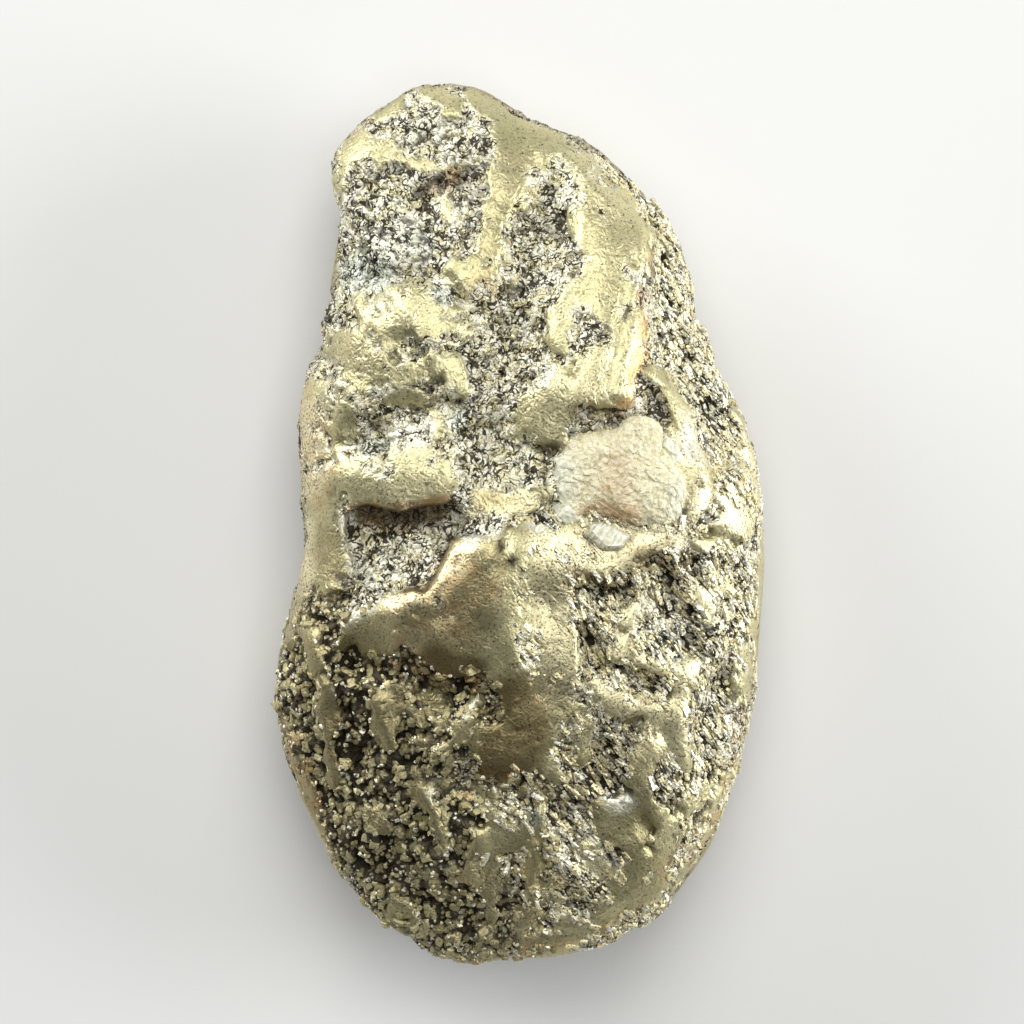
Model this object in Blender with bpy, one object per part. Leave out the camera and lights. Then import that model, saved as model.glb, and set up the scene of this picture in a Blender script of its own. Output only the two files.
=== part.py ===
"""A domeykite specimen: a worn nugget of pale bronze arsenide that lies on its back, with a calcite
grain and a calcite flake set in its face. It is 50 mm long along Y, 27.8 mm wide along X and about
16 mm thick, and it rests on a small worn flat at z = 0. All sizes below are in millimetres."""

import bpy
import bmesh
import numpy as np
from mathutils import noise

MM = 0.001  # metres in a millimetre

# Driving dimensions
LENGTH = 50.1
WIDTH = 28.0
BARE_THICKNESS = 14.6  # the bosses of the face stand up to 2 mm above this
RIM_HEIGHT = 6.5  # where the nugget is widest
REST_OVERCUT = 0.4  # how far the back would bulge past the worn flat
POCKET_GAP = 0.3  # between each calcite piece and the metal round it

# The nugget's outline, clockwise from the top of the head
OUTLINE = [
    (-2.5, 24.8), (0.1, 23.4), (2.2, 22.6), (3.6, 22.1), (5.6, 20.7), (7.1, 19.4), (8.3, 17.8),
    (9.4, 14.9), (10.2, 12.0), (11.2, 9.3), (12.8, 6.2), (13.8, 3.0), (14.1, -0.6), (13.8, -5.1),
    (13.4, -9.4), (12.8, -12.4), (11.0, -17.9), (9.2, -20.8), (7.9, -22.4), (5.5, -23.8),
    (2.2, -24.6), (-0.6, -24.8), (-3.4, -25.2), (-6.8, -23.8), (-9.7, -20.7), (-12.3, -16.6),
    (-13.8, -13.2), (-14.2, -9.0), (-13.6, -5.6), (-12.7, -2.6), (-12.4, -0.4), (-12.8, 3.4),
    (-12.5, 7.7), (-11.6, 10.6), (-10.9, 13.6), (-10.6, 17.0), (-11.1, 20.2), (-10.3, 22.0),
    (-8.7, 23.5), (-6.3, 24.9), (-4.3, 25.1),
]

# The bare form: a slab with a domed face, whose crest runs across a little above the middle
FACE_PEAK_Y = 2.0
FACE_FALL = 0.006  # loss of face height per mm squared along Y
FACE_LEAN = 0.045  # the right side stands higher than the left
FACE_PROFILE = (2.9, 2.4)
BACK_PROFILE = (3.2, 2.3)
FEATURE_FADE = 0.14  # share of the radius over which the face's relief dies away at the rim
FACE_EDGE = 0.25  # height of a direction above which it belongs to the face

# Ridges, bosses and hollows of the face: points along the crest or floor, half width, height
STROKES = [
    ([(4.4, 18.4), (4.6, 14.6), (4.2, 11.0), (3.2, 8.0)], 3.4, 0.75),  # right plateau
    ([(2.8, 21.8), (4.7, 19.3), (6.6, 17.3), (6.7, 14.8), (6.3, 11.2), (5.6, 7.4)], 0.9, 0.35),  # its rim
    ([(2.6, 7.4), (1.4, 6.2)], 1.8, 0.25),  # its lower boss
    ([(-0.9, 22.5), (-1.2, 18.5), (-1.9, 15.7), (-4.2, 13.6)], 1.7, 0.3),  # slanting ridge of the head
    ([(-9.6, 20.6), (-6.4, 23.6), (-3.0, 23.9)], 1.8, 0.4),  # brow
    ([(-5.4, 20.2), (-5.6, 17.0)], 3.2, -0.55),  # bowl of the head
    ([(-11.0, 12.8), (-8.0, 13.8), (-5.0, 14.0), (-2.3, 11.9)], 0.8, -0.35),  # groove under the head
    ([(1.8, 19.0), (1.6, 17.0), (0.0, 12.2), (-1.0, 8.8), (-1.7, 4.6)], 2.2, -0.8),  # trough
    ([(-9.0, 11.0), (-5.4, 11.2)], 3.0, 0.75),  # cheek
    ([(-9.8, 7.6), (-4.6, 8.8)], 2.6, 0.5),  # cheek, lower part
    ([(-9.2, 5.5), (-6.4, 6.5), (-4.0, 6.5)], 1.2, -0.5),  # pit below the cheek
    ([(-7.1, 10.5), (-5.9, 9.7)], 0.9, -0.35),  # pit in the cheek
    ([(-11.4, 3.0), (-7.7, 2.7), (-4.2, 3.2)], 2.1, 0.45),  # lip
    ([(-7.6, -4.8), (-5.1, -3.9), (-3.0, -1.5), (-1.2, -1.1)], 1.2, 0.35),  # crest of the nose
    ([(-5.4, -4.9), (-3.8, -3.2), (-2.4, -2.7)], 4.3, 1.35),  # nose
    ([(-4.1, -6.6), (-3.4, -7.0)], 2.3, 0.3),  # foot of the nose
    ([(-1.0, -5.4), (-0.6, -7.4)], 3.0, 0.5),  # swell between the nose and the stem
    ([(-4.9, -9.4), (-1.8, -9.5)], 1.2, -0.6),  # hollow below the nose
    ([(0.2, -7.0), (-0.2, -10.0), (-0.8, -12.6)], 2.5, 0.6),  # stem
    ([(-2.2, -15.2), (1.0, -15.4)], 1.2, -0.5),  # hollow below the stem
    ([(-0.8, -1.6), (2.3, -2.3), (5.4, -2.4), (7.6, -1.4), (9.5, 0.9), (9.7, 2.8)], 2.4, 0.4),  # band
    ([(10.2, 2.8), (9.0, 5.3), (7.6, 7.6), (7.0, 8.8)], 0.6, 0.3),  # thin ridge up the side
    ([(2.4, -2.6), (2.7, -8.4)], 1.6, 0.3),  # branch of the band
    ([(5.2, 3.4), (5.6, 2.6)], 3.5, -0.6),  # seat of the calcite
    ([(8.3, 5.2), (7.2, 7.6)], 0.8, -0.2),  # slot beside the thin ridge
    ([(4.0, -4.0), (5.4, -4.5)], 1.1, -0.7),  # pits of the lower right
    ([(7.6, -3.1), (8.4, -4.6)], 1.2, -0.7),
    ([(3.9, -5.4), (4.2, -7.8)], 1.0, -0.55),
    ([(8.6, -6.2), (9.6, -6.8)], 1.0, -0.5),
    ([(6.0, -8.8), (7.2, -9.2)], 0.8, -0.45),
    ([(4.6, -12.4), (4.6, -14.2)], 1.2, -0.6),
    ([(11.6, -9.0), (10.4, -12.8)], 1.2, -0.6),
    ([(11.4, -1.0), (11.9, -5.4)], 1.0, -0.45),
    ([(5.9, -5.0), (5.7, -7.0), (7.6, -8.0)], 1.4, 0.25),  # lands of the lower right
    ([(9.1, -8.8), (9.0, -10.4), (6.6, -10.6), (4.4, -9.8)], 1.4, 0.3),
    ([(8.8, -11.4), (9.2, -13.0)], 1.2, 0.35),
    ([(6.8, -12.2), (6.7, -14.6)], 1.1, 0.35),
    ([(6.8, -16.4), (7.0, -16.8)], 0.8, -0.35),
    ([(8.2, -15.4), (6.2, -19.6)], 2.0, 0.5),  # swell of the lower right
    ([(-9.6, -7.4), (-8.2, -8.0)], 1.4, -0.8),  # pits of the lower left
    ([(-5.6, -9.2), (-4.6, -10.0)], 1.0, -0.6),
    ([(-9.4, -12.4), (-8.8, -14.2)], 1.2, -0.6),
    ([(-11.8, -6.2), (-11.0, -8.8)], 1.6, 0.45),  # lands of the lower left
    ([(-11.4, -10.4), (-11.0, -11.8)], 0.9, 0.35),
    ([(-7.8, -10.0), (-7.4, -12.4)], 0.9, 0.45),
    ([(-2.4, -9.4), (-4.7, -13.2)], 0.8, 0.5),  # slanting ridge
    ([(-5.2, -15.0), (-4.9, -18.2)], 0.9, 0.4),  # uprights of the foot
    ([(-2.6, -17.6), (-2.7, -21.4)], 1.0, 0.4),
    ([(0.9, -15.2), (0.9, -21.4)], 0.6, 0.3),
    ([(2.0, -18.4), (5.0, -21.6)], 1.0, 0.35),
]

# Sunken areas with a wall round them: outline, depth at the wall, width of the wall
RECESS = [
    (-9.7, 0.8), (-8.4, 1.3), (-6.6, 1.2), (-4.0, 1.7), (-3.0, 0.4), (-3.7, -0.6), (-4.8, -2.6),
    (-5.7, -3.5), (-7.1, -3.6), (-8.3, -3.7), (-9.1, -2.8), (-9.6, -0.8),
]
RECESS_DEPTH = 1.65
RECESS_WALL = 0.7
RECESS_FLOOR_RISE = 0.16  # the floor climbs towards the nose, per mm
SIDE_LEDGE = [
    (1.4, 23.6), (3.2, 22.2), (5.4, 20.5), (7.6, 18.2), (8.0, 15.8), (7.6, 13.0), (7.7, 10.6),
    (7.9, 8.6), (9.6, 6.4), (11.0, 3.4), (15.0, 3.0), (15.0, 15.0), (9.0, 24.0),
]
SIDE_LEDGE_DEPTH = 1.5
SIDE_LEDGE_WALL = 1.3

# Where the metal is pitted and where it is worn smooth: points, radius, pitting from 0 to 1
OPEN_PITTING = 0.55
SURFACE_ZONES = [
    ([(-6.8, 22.3), (-3.0, 19.4)], 2.2, 1.0), ([(-5.5, 18.6), (-7.4, 15.4)], 3.2, 1.0),
    ([(-2.9, 18.4), (-3.8, 15.6)], 1.6, 1.0), ([(-11.6, 12.4), (-12.0, 7.6)], 1.2, 1.0),
    ([(1.7, 20.4), (1.6, 17.0), (0.0, 12.2), (-0.9, 9.0), (-1.8, 4.4), (-3.4, 1.2)], 1.9, 1.0),
    ([(1.6, 23.2), (6.6, 20.0), (9.1, 15.5), (10.4, 10.2), (11.4, 5.0), (12.3, 0.6)], 1.8, 1.0),
    ([(-7.1, 10.6), (-5.8, 9.6)], 1.0, 1.0), ([(-9.3, 5.6), (-6.2, 6.6), (-3.9, 6.5)], 1.6, 1.0),
    ([(-8.4, -0.6), (-5.5, -0.6), (-7.0, -2.4)], 2.0, 1.0), ([(-3.4, 0.5), (1.2, 0.4)], 0.9, 0.9),
    ([(12.4, 0.0), (12.5, -10.0)], 1.6, 1.0), ([(7.4, -2.2), (8.8, -5.4)], 1.7, 1.0),
    ([(4.5, -3.6), (4.5, -8.4)], 1.3, 1.0), ([(4.6, -10.8), (7.2, -10.4)], 1.5, 1.0),
    ([(11.2, -10.0), (9.8, -17.2)], 1.6, 0.9), ([(-12.3, -6.4), (-12.0, -13.0), (-9.0, -19.0)], 2.0, 1.0),
    ([(-9.4, -7.0), (-4.8, -9.6), (-8.6, -14.0)], 2.2, 1.0), ([(-6.0, -16.0), (-1.4, -20.6)], 4.4, 0.9),
    ([(3.0, -15.6), (4.4, -20.4)], 2.0, 0.8), ([(-9.0, 22.4), (-6.6, 24.2), (-2.4, 24.0)], 1.1, 0.0),
    ([(-10.0, 21.0), (-9.4, 18.8)], 1.3, 0.0), ([(-0.9, 22.6), (-1.1, 18.5), (-2.0, 15.6)], 1.1, 0.0),
    ([(-2.4, 14.8), (-5.0, 13.7)], 1.0, 0.0), ([(0.0, 22.9), (2.6, 21.6)], 1.0, 0.0),
    ([(2.8, 21.8), (6.0, 18.4), (6.4, 15.0), (6.2, 11.0), (5.6, 7.4)], 1.4, 0.0),
    ([(3.4, 13.4), (2.0, 8.6), (1.2, 6.4)], 1.4, 0.0), ([(4.5, 8.2), (2.5, 5.8)], 2.0, 0.0),
    ([(-9.8, 11.4), (-5.4, 12.0)], 1.4, 0.1), ([(-9.6, 9.4), (-9.9, 7.2)], 1.2, 0.1),
    ([(-5.4, 8.5), (-3.9, 8.4)], 0.9, 0.0), ([(-11.2, 2.9), (-7.6, 2.4), (-4.2, 3.2)], 1.3, 0.0),
    ([(-12.5, 6.4), (-12.4, 2.2)], 0.8, 0.1), ([(-11.6, 0.4), (-12.2, -2.6), (-13.0, -5.4)], 0.9, 0.0),
    ([(-6.4, -5.2), (-3.4, -3.6), (-1.0, -2.2)], 1.8, 0.0), ([(-4.8, -6.4), (-2.4, -5.8)], 2.3, 0.0),
    ([(-0.8, -1.0), (2.3, -1.6), (5.6, -2.1), (8.0, -1.3), (10.2, 1.0), (10.0, 3.4)], 1.0, 0.0),
    ([(2.6, -2.6), (2.8, -8.2)], 1.1, 0.0), ([(-0.2, -7.0), (-0.6, -13.4)], 1.5, 0.1),
    ([(1.5, -8.0), (2.0, -12.0)], 1.0, 0.2), ([(8.4, -7.8), (10.2, -8.0)], 0.9, 0.1),
    ([(8.8, -11.4), (9.2, -13.0)], 0.9, 0.1), ([(-11.3, -7.6), (-10.8, -12.0)], 0.8, 0.1),
    ([(-8.0, -9.9), (-7.3, -12.0)], 0.8, 0.1), ([(6.0, -14.6), (8.4, -18.0)], 1.5, 0.1),
    ([(6.6, -19.4), (3.6, -22.0)], 1.1, 0.2), ([(13.5, 3.0), (13.4, -9.0)], 0.5, 0.1),
]

# The features' outlines wander from their drawn lines: wavelength and distance
WANDER = [(3.4, 0.55), (1.5, 0.22)]

# Relief that is not placed one by one: wavelength and height
SWELL = (7.5, 0.30)
LUMPS = (2.3, 0.75)
NICKS = (1.25, 0.35)
BACK_ZONES = (6.0, 0.35)  # wavelength of the pitted and smooth areas of the sides and back, and their bias

# Calcite grain: outline in plan, then how far it reaches above and below the face beside it
LUMP_OUTLINE = [
    (2.4, 4.9), (4.4, 5.3), (5.4, 5.6), (6.1, 6.1), (7.1, 6.1), (7.8, 5.3), (7.9, 4.4), (8.6, 3.7),
    (9.3, 2.8), (9.4, 1.8), (9.0, 0.7), (8.2, -0.1), (6.7, -0.2), (6.0, 0.2), (5.2, 0.6),
    (4.2, 0.8), (3.5, 0.7), (2.8, 0.1), (2.2, 0.5), (1.7, 1.5), (1.4, 2.9), (1.6, 3.9),
]
LUMP_CENTRE = (5.4, 2.7)
LUMP_ABOUT = 3.4  # mean radius
LUMP_ABOVE = 0.55
LUMP_BELOW = 2.6
LUMP_SINK = 1.0  # its widest level lies this far below the face beside it
LUMP_PROFILE = (3.0, 2.4)
LUMP_GRAIN = [(1.7, 0.32), (0.8, 0.14)]

# Calcite flake: outline in plan, thickness, and the slope of its two cleavage faces
FLAKE_OUTLINE = [
    (3.5, 0.05), (4.4, 0.2), (5.2, 0.0), (6.1, -0.55), (5.8, -1.1), (5.2, -1.6), (4.5, -1.3), (3.7, -0.6),
]
FLAKE_THICKNESS = 0.9
FLAKE_SINK = 0.45
FLAKE_TOP_SHARE = 0.72  # size of the upper face against the outline
FLAKE_TILT = 0.18

# Mesh densities
NUGGET_CUTS = 87
NUGGET_KEEP = 0.085  # share of the dense mesh's triangles that the solid keeps
LUMP_CUTS = 7


def smooth(t):
    t = np.clip(t, 0.0, 1.0)
    return t * t * (3.0 - 2.0 * t)


def closed_curve(points, steps=10):
    """A smooth closed curve through the points, as steps places along each span."""
    p = np.array(points)
    before, after, beyond = np.roll(p, 1, 0), np.roll(p, -1, 0), np.roll(p, -2, 0)
    spans = []
    for t in np.arange(steps) / steps:
        spans.append(0.5 * (2 * p + (after - before) * t
                            + (2 * before - 5 * p + 4 * after - beyond) * t**2
                            + (3 * p - before - 3 * after + beyond) * t**3))
    return np.stack(spans, axis=1).reshape(-1, 2)


def nugget_curve():
    """The nugget's outline, centred and brought to its full width and length."""
    curve = closed_curve(OUTLINE)
    low, high = curve.min(0), curve.max(0)
    return (curve - (low + high) / 2) * (WIDTH, LENGTH) / (high - low)


def reach(curve, angles):
    """How far a closed curve lies from the origin in each direction."""
    around = np.arctan2(curve[:, 1], curve[:, 0])
    return np.interp(angles, around[np.argsort(around)],
                     np.hypot(*curve.T)[np.argsort(around)], period=2 * np.pi)


def distance_to_line(plan, points):
    """Distance in plan from each place to a line of one or more spans."""
    nearest = np.full(len(plan), np.inf)
    for start, end in zip(np.array(points[:-1]), np.array(points[1:])):
        along = end - start
        t = np.clip((plan - start) @ along / (along @ along), 0.0, 1.0)
        nearest = np.minimum(nearest, np.hypot(*(plan - start - t[:, None] * along).T))
    return nearest


def depth_inside(plan, outline):
    """Distance in plan from the outline, above zero inside it."""
    corners = np.array(outline)
    inside = np.zeros(len(plan), bool)
    for a, b in zip(corners, np.roll(corners, -1, 0)):
        spans = (a[1] > plan[:, 1]) != (b[1] > plan[:, 1])
        inside ^= spans & (plan[:, 0] < a[0] + (plan[:, 1] - a[1]) * (b[0] - a[0]) / (b[1] - a[1] + 1e-12))
    gap = distance_to_line(plan, list(outline) + [outline[0]])
    return np.where(inside, gap, -gap)


def waves(points, wavelength, seed):
    """Smooth noise between about -1 and 1 with the given wavelength."""
    shifted = points / wavelength + np.array([seed * 17.3, seed * 5.1, seed * 9.7])
    return np.array([noise.noise(place) for place in shifted])


def wandered(plan):
    """Places in plan shifted a little to and fro, so that no feature keeps a drawn outline."""
    shifted = plan.copy()
    flat = np.column_stack([plan, np.zeros(len(plan))])
    for wavelength, distance in WANDER:
        shifted[:, 0] += distance * waves(flat, wavelength, 7)
        shifted[:, 1] += distance * waves(flat, wavelength, 8)
    return shifted


def face_relief(plan):
    """Height of the named features of the face."""
    height = np.zeros(len(plan))
    for points, half_width, rise in STROKES:
        t = distance_to_line(plan, points) / half_width
        height += rise * np.clip(1.0 - t * t, 0.0, 1.0) ** 2
    recess = smooth(depth_inside(plan, RECESS) / RECESS_WALL + 0.5)
    height -= recess * (RECESS_DEPTH + RECESS_FLOOR_RISE * (plan[:, 1] - RECESS[0][1]))
    ledge = smooth(depth_inside(plan, SIDE_LEDGE) / SIDE_LEDGE_WALL + 0.5)
    return height - ledge * SIDE_LEDGE_DEPTH


def pitting(points, drawn, front):
    """How pitted the metal is at each place, from 0, worn smooth, to 1."""
    face = np.full(len(points), OPEN_PITTING)
    for line, radius, value in SURFACE_ZONES:
        cover = smooth(1.6 - distance_to_line(drawn, line) / radius)
        face += cover * (value - face)
    wavelength, bias = BACK_ZONES
    other = smooth(0.5 + bias + 2.2 * waves(points, wavelength, 4))
    return other + front * (face - other)


def sphere(name, cuts):
    """A closed mesh of even triangles, and the direction of each of its points."""
    bm = bmesh.new()
    bmesh.ops.create_cube(bm, size=2.0)
    bmesh.ops.subdivide_edges(bm, edges=bm.edges, cuts=cuts, use_grid_fill=True)
    bmesh.ops.triangulate(bm, faces=bm.faces)
    mesh = bpy.data.meshes.new(name)
    bm.to_mesh(mesh)
    bm.free()
    spots = np.empty(len(mesh.vertices) * 3)
    mesh.vertices.foreach_get("co", spots)
    spots = np.tan(spots.reshape(-1, 3) * np.pi / 4)
    return mesh, spots / np.linalg.norm(spots, axis=1)[:, None]


def move_points(mesh, points):
    mesh.vertices.foreach_set("co", (points * MM).ravel())
    mesh.update()


def normals_of(mesh):
    normals = np.empty(len(mesh.vertices) * 3)
    mesh.vertices.foreach_get("normal", normals)
    return normals.reshape(-1, 3)


def slab(directions):
    """The bare form of the nugget, and each point's share of the way from the centre to the rim."""
    stretched = directions[:, :2] * (WIDTH / 2, LENGTH / 2)
    angles = np.arctan2(stretched[:, 1], stretched[:, 0])
    share = np.hypot(directions[:, 0], directions[:, 1])
    out = reach(nugget_curve(), angles) * share
    plan = np.stack([out * np.cos(angles), out * np.sin(angles)], axis=1)
    crest = BARE_THICKNESS - RIM_HEIGHT - FACE_FALL * (plan[:, 1] - FACE_PEAK_Y) ** 2 + FACE_LEAN * plan[:, 0]
    face = crest * (1.0 - share ** FACE_PROFILE[0]).clip(0.0) ** (1.0 / FACE_PROFILE[1])
    back = -(RIM_HEIGHT + REST_OVERCUT) * (1.0 - share ** BACK_PROFILE[0]).clip(0.0) ** (1.0 / BACK_PROFILE[1])
    height = RIM_HEIGHT + np.where(directions[:, 2] > 0, face, back)
    return np.column_stack([plan, height]), share


def make_nugget():
    mesh, directions = sphere("domeykite_nugget", NUGGET_CUTS)
    points, share = slab(directions)
    move_points(mesh, points)
    normals = normals_of(mesh)
    on_face = smooth(directions[:, 2] / FACE_EDGE)
    front = on_face * smooth((1.0 - share) / FEATURE_FADE)
    drawn = wandered(points[:, :2])
    pitted = pitting(points, drawn, on_face)
    swell = SWELL[1] * waves(points, SWELL[0], 1)
    lumps = LUMPS[1] * np.minimum(waves(points, LUMPS[0], 2) - 0.15, 0.0) * pitted
    nicks = NICKS[1] * np.minimum(waves(points, NICKS[0], 3), 0.0) * pitted
    points += normals * (np.minimum(swell, 0.1) + lumps + nicks)[:, None]
    points[:, 2] += front * face_relief(drawn)
    move_points(mesh, points)
    return link(mesh, metal())


def make_lump(name, margin):
    """The calcite grain, or with a margin the cutter of its pocket."""
    mesh, directions = sphere(name, LUMP_CUTS)
    angles = np.arctan2(directions[:, 1], directions[:, 0])
    share = np.hypot(directions[:, 0], directions[:, 1])
    out = (reach(closed_curve(LUMP_OUTLINE) - LUMP_CENTRE, angles) + margin) * share
    plan = np.column_stack([out * np.cos(angles), out * np.sin(angles)]) + LUMP_CENTRE
    rise = np.where(directions[:, 2] > 0, LUMP_ABOVE + LUMP_SINK, LUMP_SINK - LUMP_BELOW)
    rise += margin * np.sign(rise)
    swell = (1.0 - share ** LUMP_PROFILE[0]).clip(0.0) ** (1.0 / LUMP_PROFILE[1])
    points = np.column_stack([plan, face_height(LUMP_CENTRE) - LUMP_SINK + rise * swell])
    grain = sum(height * waves(directions * LUMP_ABOUT, wavelength, 6) for wavelength, height in LUMP_GRAIN)
    move_points(mesh, points + directions * np.minimum(grain, 0.0)[:, None])
    return mesh


def make_flake(name, margin):
    """The calcite flake, a thin cleavage chip with a sloping upper face, or the cutter of its pocket."""
    outline = np.array(FLAKE_OUTLINE)
    centre = outline.mean(0)
    spread = outline - centre
    spread *= 1.0 + margin / np.hypot(*spread.T)[:, None]
    base = face_height(centre) - FLAKE_SINK - margin
    top = base + FLAKE_THICKNESS + 2 * margin
    levels = [(base, 0.7, 0.0), (base + 0.3 * (top - base), 1.0, 0.0), (top, FLAKE_TOP_SHARE, FLAKE_TILT)]
    bm = bmesh.new()
    rings = []
    for height, share, tilt in levels:
        ring = [bm.verts.new(((x * share + centre[0]) * MM, (y * share + centre[1]) * MM,
                              (height + tilt * x * share) * MM)) for x, y in spread]
        rings.append(ring)
    for lower, upper in zip(rings[:-1], rings[1:]):
        for i in range(len(spread)):
            bm.faces.new([lower[i - 1], lower[i], upper[i], upper[i - 1]])
    bm.faces.new(rings[0])
    bm.faces.new(rings[-1])
    bmesh.ops.recalc_face_normals(bm, faces=bm.faces)
    mesh = bpy.data.meshes.new(name)
    bm.to_mesh(mesh)
    bm.free()
    return mesh


def face_height(place):
    """Height of the bare face at a place in plan."""
    plan = np.array(place)
    share = np.hypot(*plan) / reach(nugget_curve(), np.arctan2(plan[1], plan[0]))
    crest = BARE_THICKNESS - RIM_HEIGHT - FACE_FALL * (plan[1] - FACE_PEAK_Y) ** 2 + FACE_LEAN * plan[0]
    return RIM_HEIGHT + crest * (1.0 - share ** FACE_PROFILE[0]) ** (1.0 / FACE_PROFILE[1])


def principled(name, colour, roughness, metallic):
    material = bpy.data.materials.new(name)
    material.use_nodes = True
    shader = material.node_tree.nodes["Principled BSDF"]
    shader.inputs["Base Color"].default_value = (*colour, 1.0)
    shader.inputs["Roughness"].default_value = roughness
    shader.inputs["Metallic"].default_value = metallic
    return material


def metal():
    return principled("domeykite metal", (0.62, 0.57, 0.34), 0.38, 1.0)


def link(mesh, material=None):
    thing = bpy.data.objects.new(mesh.name, mesh)
    bpy.context.scene.collection.objects.link(thing)
    if material:
        mesh.materials.append(material)
    return thing


def cut(target, cutter):
    cutter.hide_render = True
    cutter.display_type = "WIRE"
    modifier = target.modifiers.new(cutter.name, "BOOLEAN")
    modifier.operation = "DIFFERENCE"
    modifier.solver = "EXACT"
    modifier.object = cutter


def slab_below():
    """A block whose upper face is the surface that the nugget rests on."""
    bm = bmesh.new()
    bmesh.ops.create_cube(bm, size=1.0)
    side = 2 * LENGTH * MM
    bmesh.ops.scale(bm, verts=bm.verts, vec=(side, side, side))
    bmesh.ops.translate(bm, verts=bm.verts, vec=(0.0, 0.0, -side / 2))
    mesh = bpy.data.meshes.new("rest_cutter")
    bm.to_mesh(mesh)
    bm.free()
    return link(mesh)


def main():
    for thing in list(bpy.data.objects):
        bpy.data.objects.remove(thing)
    nugget = make_nugget()
    thin = nugget.modifiers.new("thin", "DECIMATE")
    thin.ratio = NUGGET_KEEP
    cut(nugget, slab_below())
    cut(nugget, link(make_lump("lump_pocket_cutter", POCKET_GAP)))
    cut(nugget, link(make_flake("flake_pocket_cutter", POCKET_GAP)))
    tidy = nugget.modifiers.new("triangles", "TRIANGULATE")
    tidy.ngon_method = "BEAUTY"
    link(make_lump("calcite_lump", 0.0), principled("cream calcite", (0.72, 0.64, 0.42), 0.55, 0.0))
    link(make_flake("calcite_flake", 0.0), principled("pale calcite", (0.78, 0.77, 0.64), 0.35, 0.0))


main()
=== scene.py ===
"""Looks of the domeykite specimen: a worn nugget of pale bronze arsenide, pitted and crystalline where
the skin is worn away, with a calcite grain and a calcite flake in its face. Sizes are in millimetres
unless a name says otherwise; x runs across the nugget, y along it and z up from the surface it lies on."""

import math

import bpy
import numpy as np
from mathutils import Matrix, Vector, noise


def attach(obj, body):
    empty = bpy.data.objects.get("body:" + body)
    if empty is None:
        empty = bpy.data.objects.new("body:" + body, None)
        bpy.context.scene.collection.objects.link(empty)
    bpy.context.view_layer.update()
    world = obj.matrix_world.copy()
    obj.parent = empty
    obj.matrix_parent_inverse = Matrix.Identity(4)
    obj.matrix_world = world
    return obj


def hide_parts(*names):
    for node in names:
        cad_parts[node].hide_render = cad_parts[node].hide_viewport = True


MM = 0.001  # metres in a millimetre

# ---------------------------------------------------------------- form, as in the solid

LENGTH = 50.1
WIDTH = 28.0
BARE_THICKNESS = 14.6  # without the face's relief
RIM_HEIGHT = 6.5  # of the widest outline above the surface that the nugget lies on
REST_OVERCUT = 0.4  # the back would reach this far below that surface, and is cut flat by it

OUTLINE = [
    (-2.5, 24.8), (0.1, 23.4), (2.2, 22.6), (3.6, 22.1), (5.6, 20.7), (7.1, 19.4), (8.3, 17.8),
    (9.4, 14.9), (10.2, 12.0), (11.2, 9.3), (12.8, 6.2), (13.8, 3.0), (14.1, -0.6), (13.8, -5.1),
    (13.4, -9.4), (12.8, -12.4), (11.0, -17.9), (9.2, -20.8), (7.9, -22.4), (5.5, -23.8),
    (2.2, -24.6), (-0.6, -24.8), (-3.4, -25.2), (-6.8, -23.8), (-9.7, -20.7), (-12.3, -16.6),
    (-13.8, -13.2), (-14.2, -9.0), (-13.6, -5.6), (-12.7, -2.6), (-12.4, -0.4), (-12.8, 3.4),
    (-12.5, 7.7), (-11.6, 10.6), (-10.9, 13.6), (-10.6, 17.0), (-11.1, 20.2), (-10.3, 22.0),
    (-8.7, 23.5), (-6.3, 24.9), (-4.3, 25.1),
]

FACE_PEAK_Y = 2.0  # the face is highest here along y
FACE_FALL = 0.006  # and falls from there by this for each square mm
FACE_LEAN = 0.045  # it rises by this for each mm along x
FACE_PROFILE = (2.9, 2.4)  # powers that shape the curve from the middle to the rim
BACK_PROFILE = (3.2, 2.3)
FEATURE_FADE = 0.14  # share of the way in from the rim over which the features begin
FACE_EDGE = 0.25  # upward part of the direction from the middle from which on all is face

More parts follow.
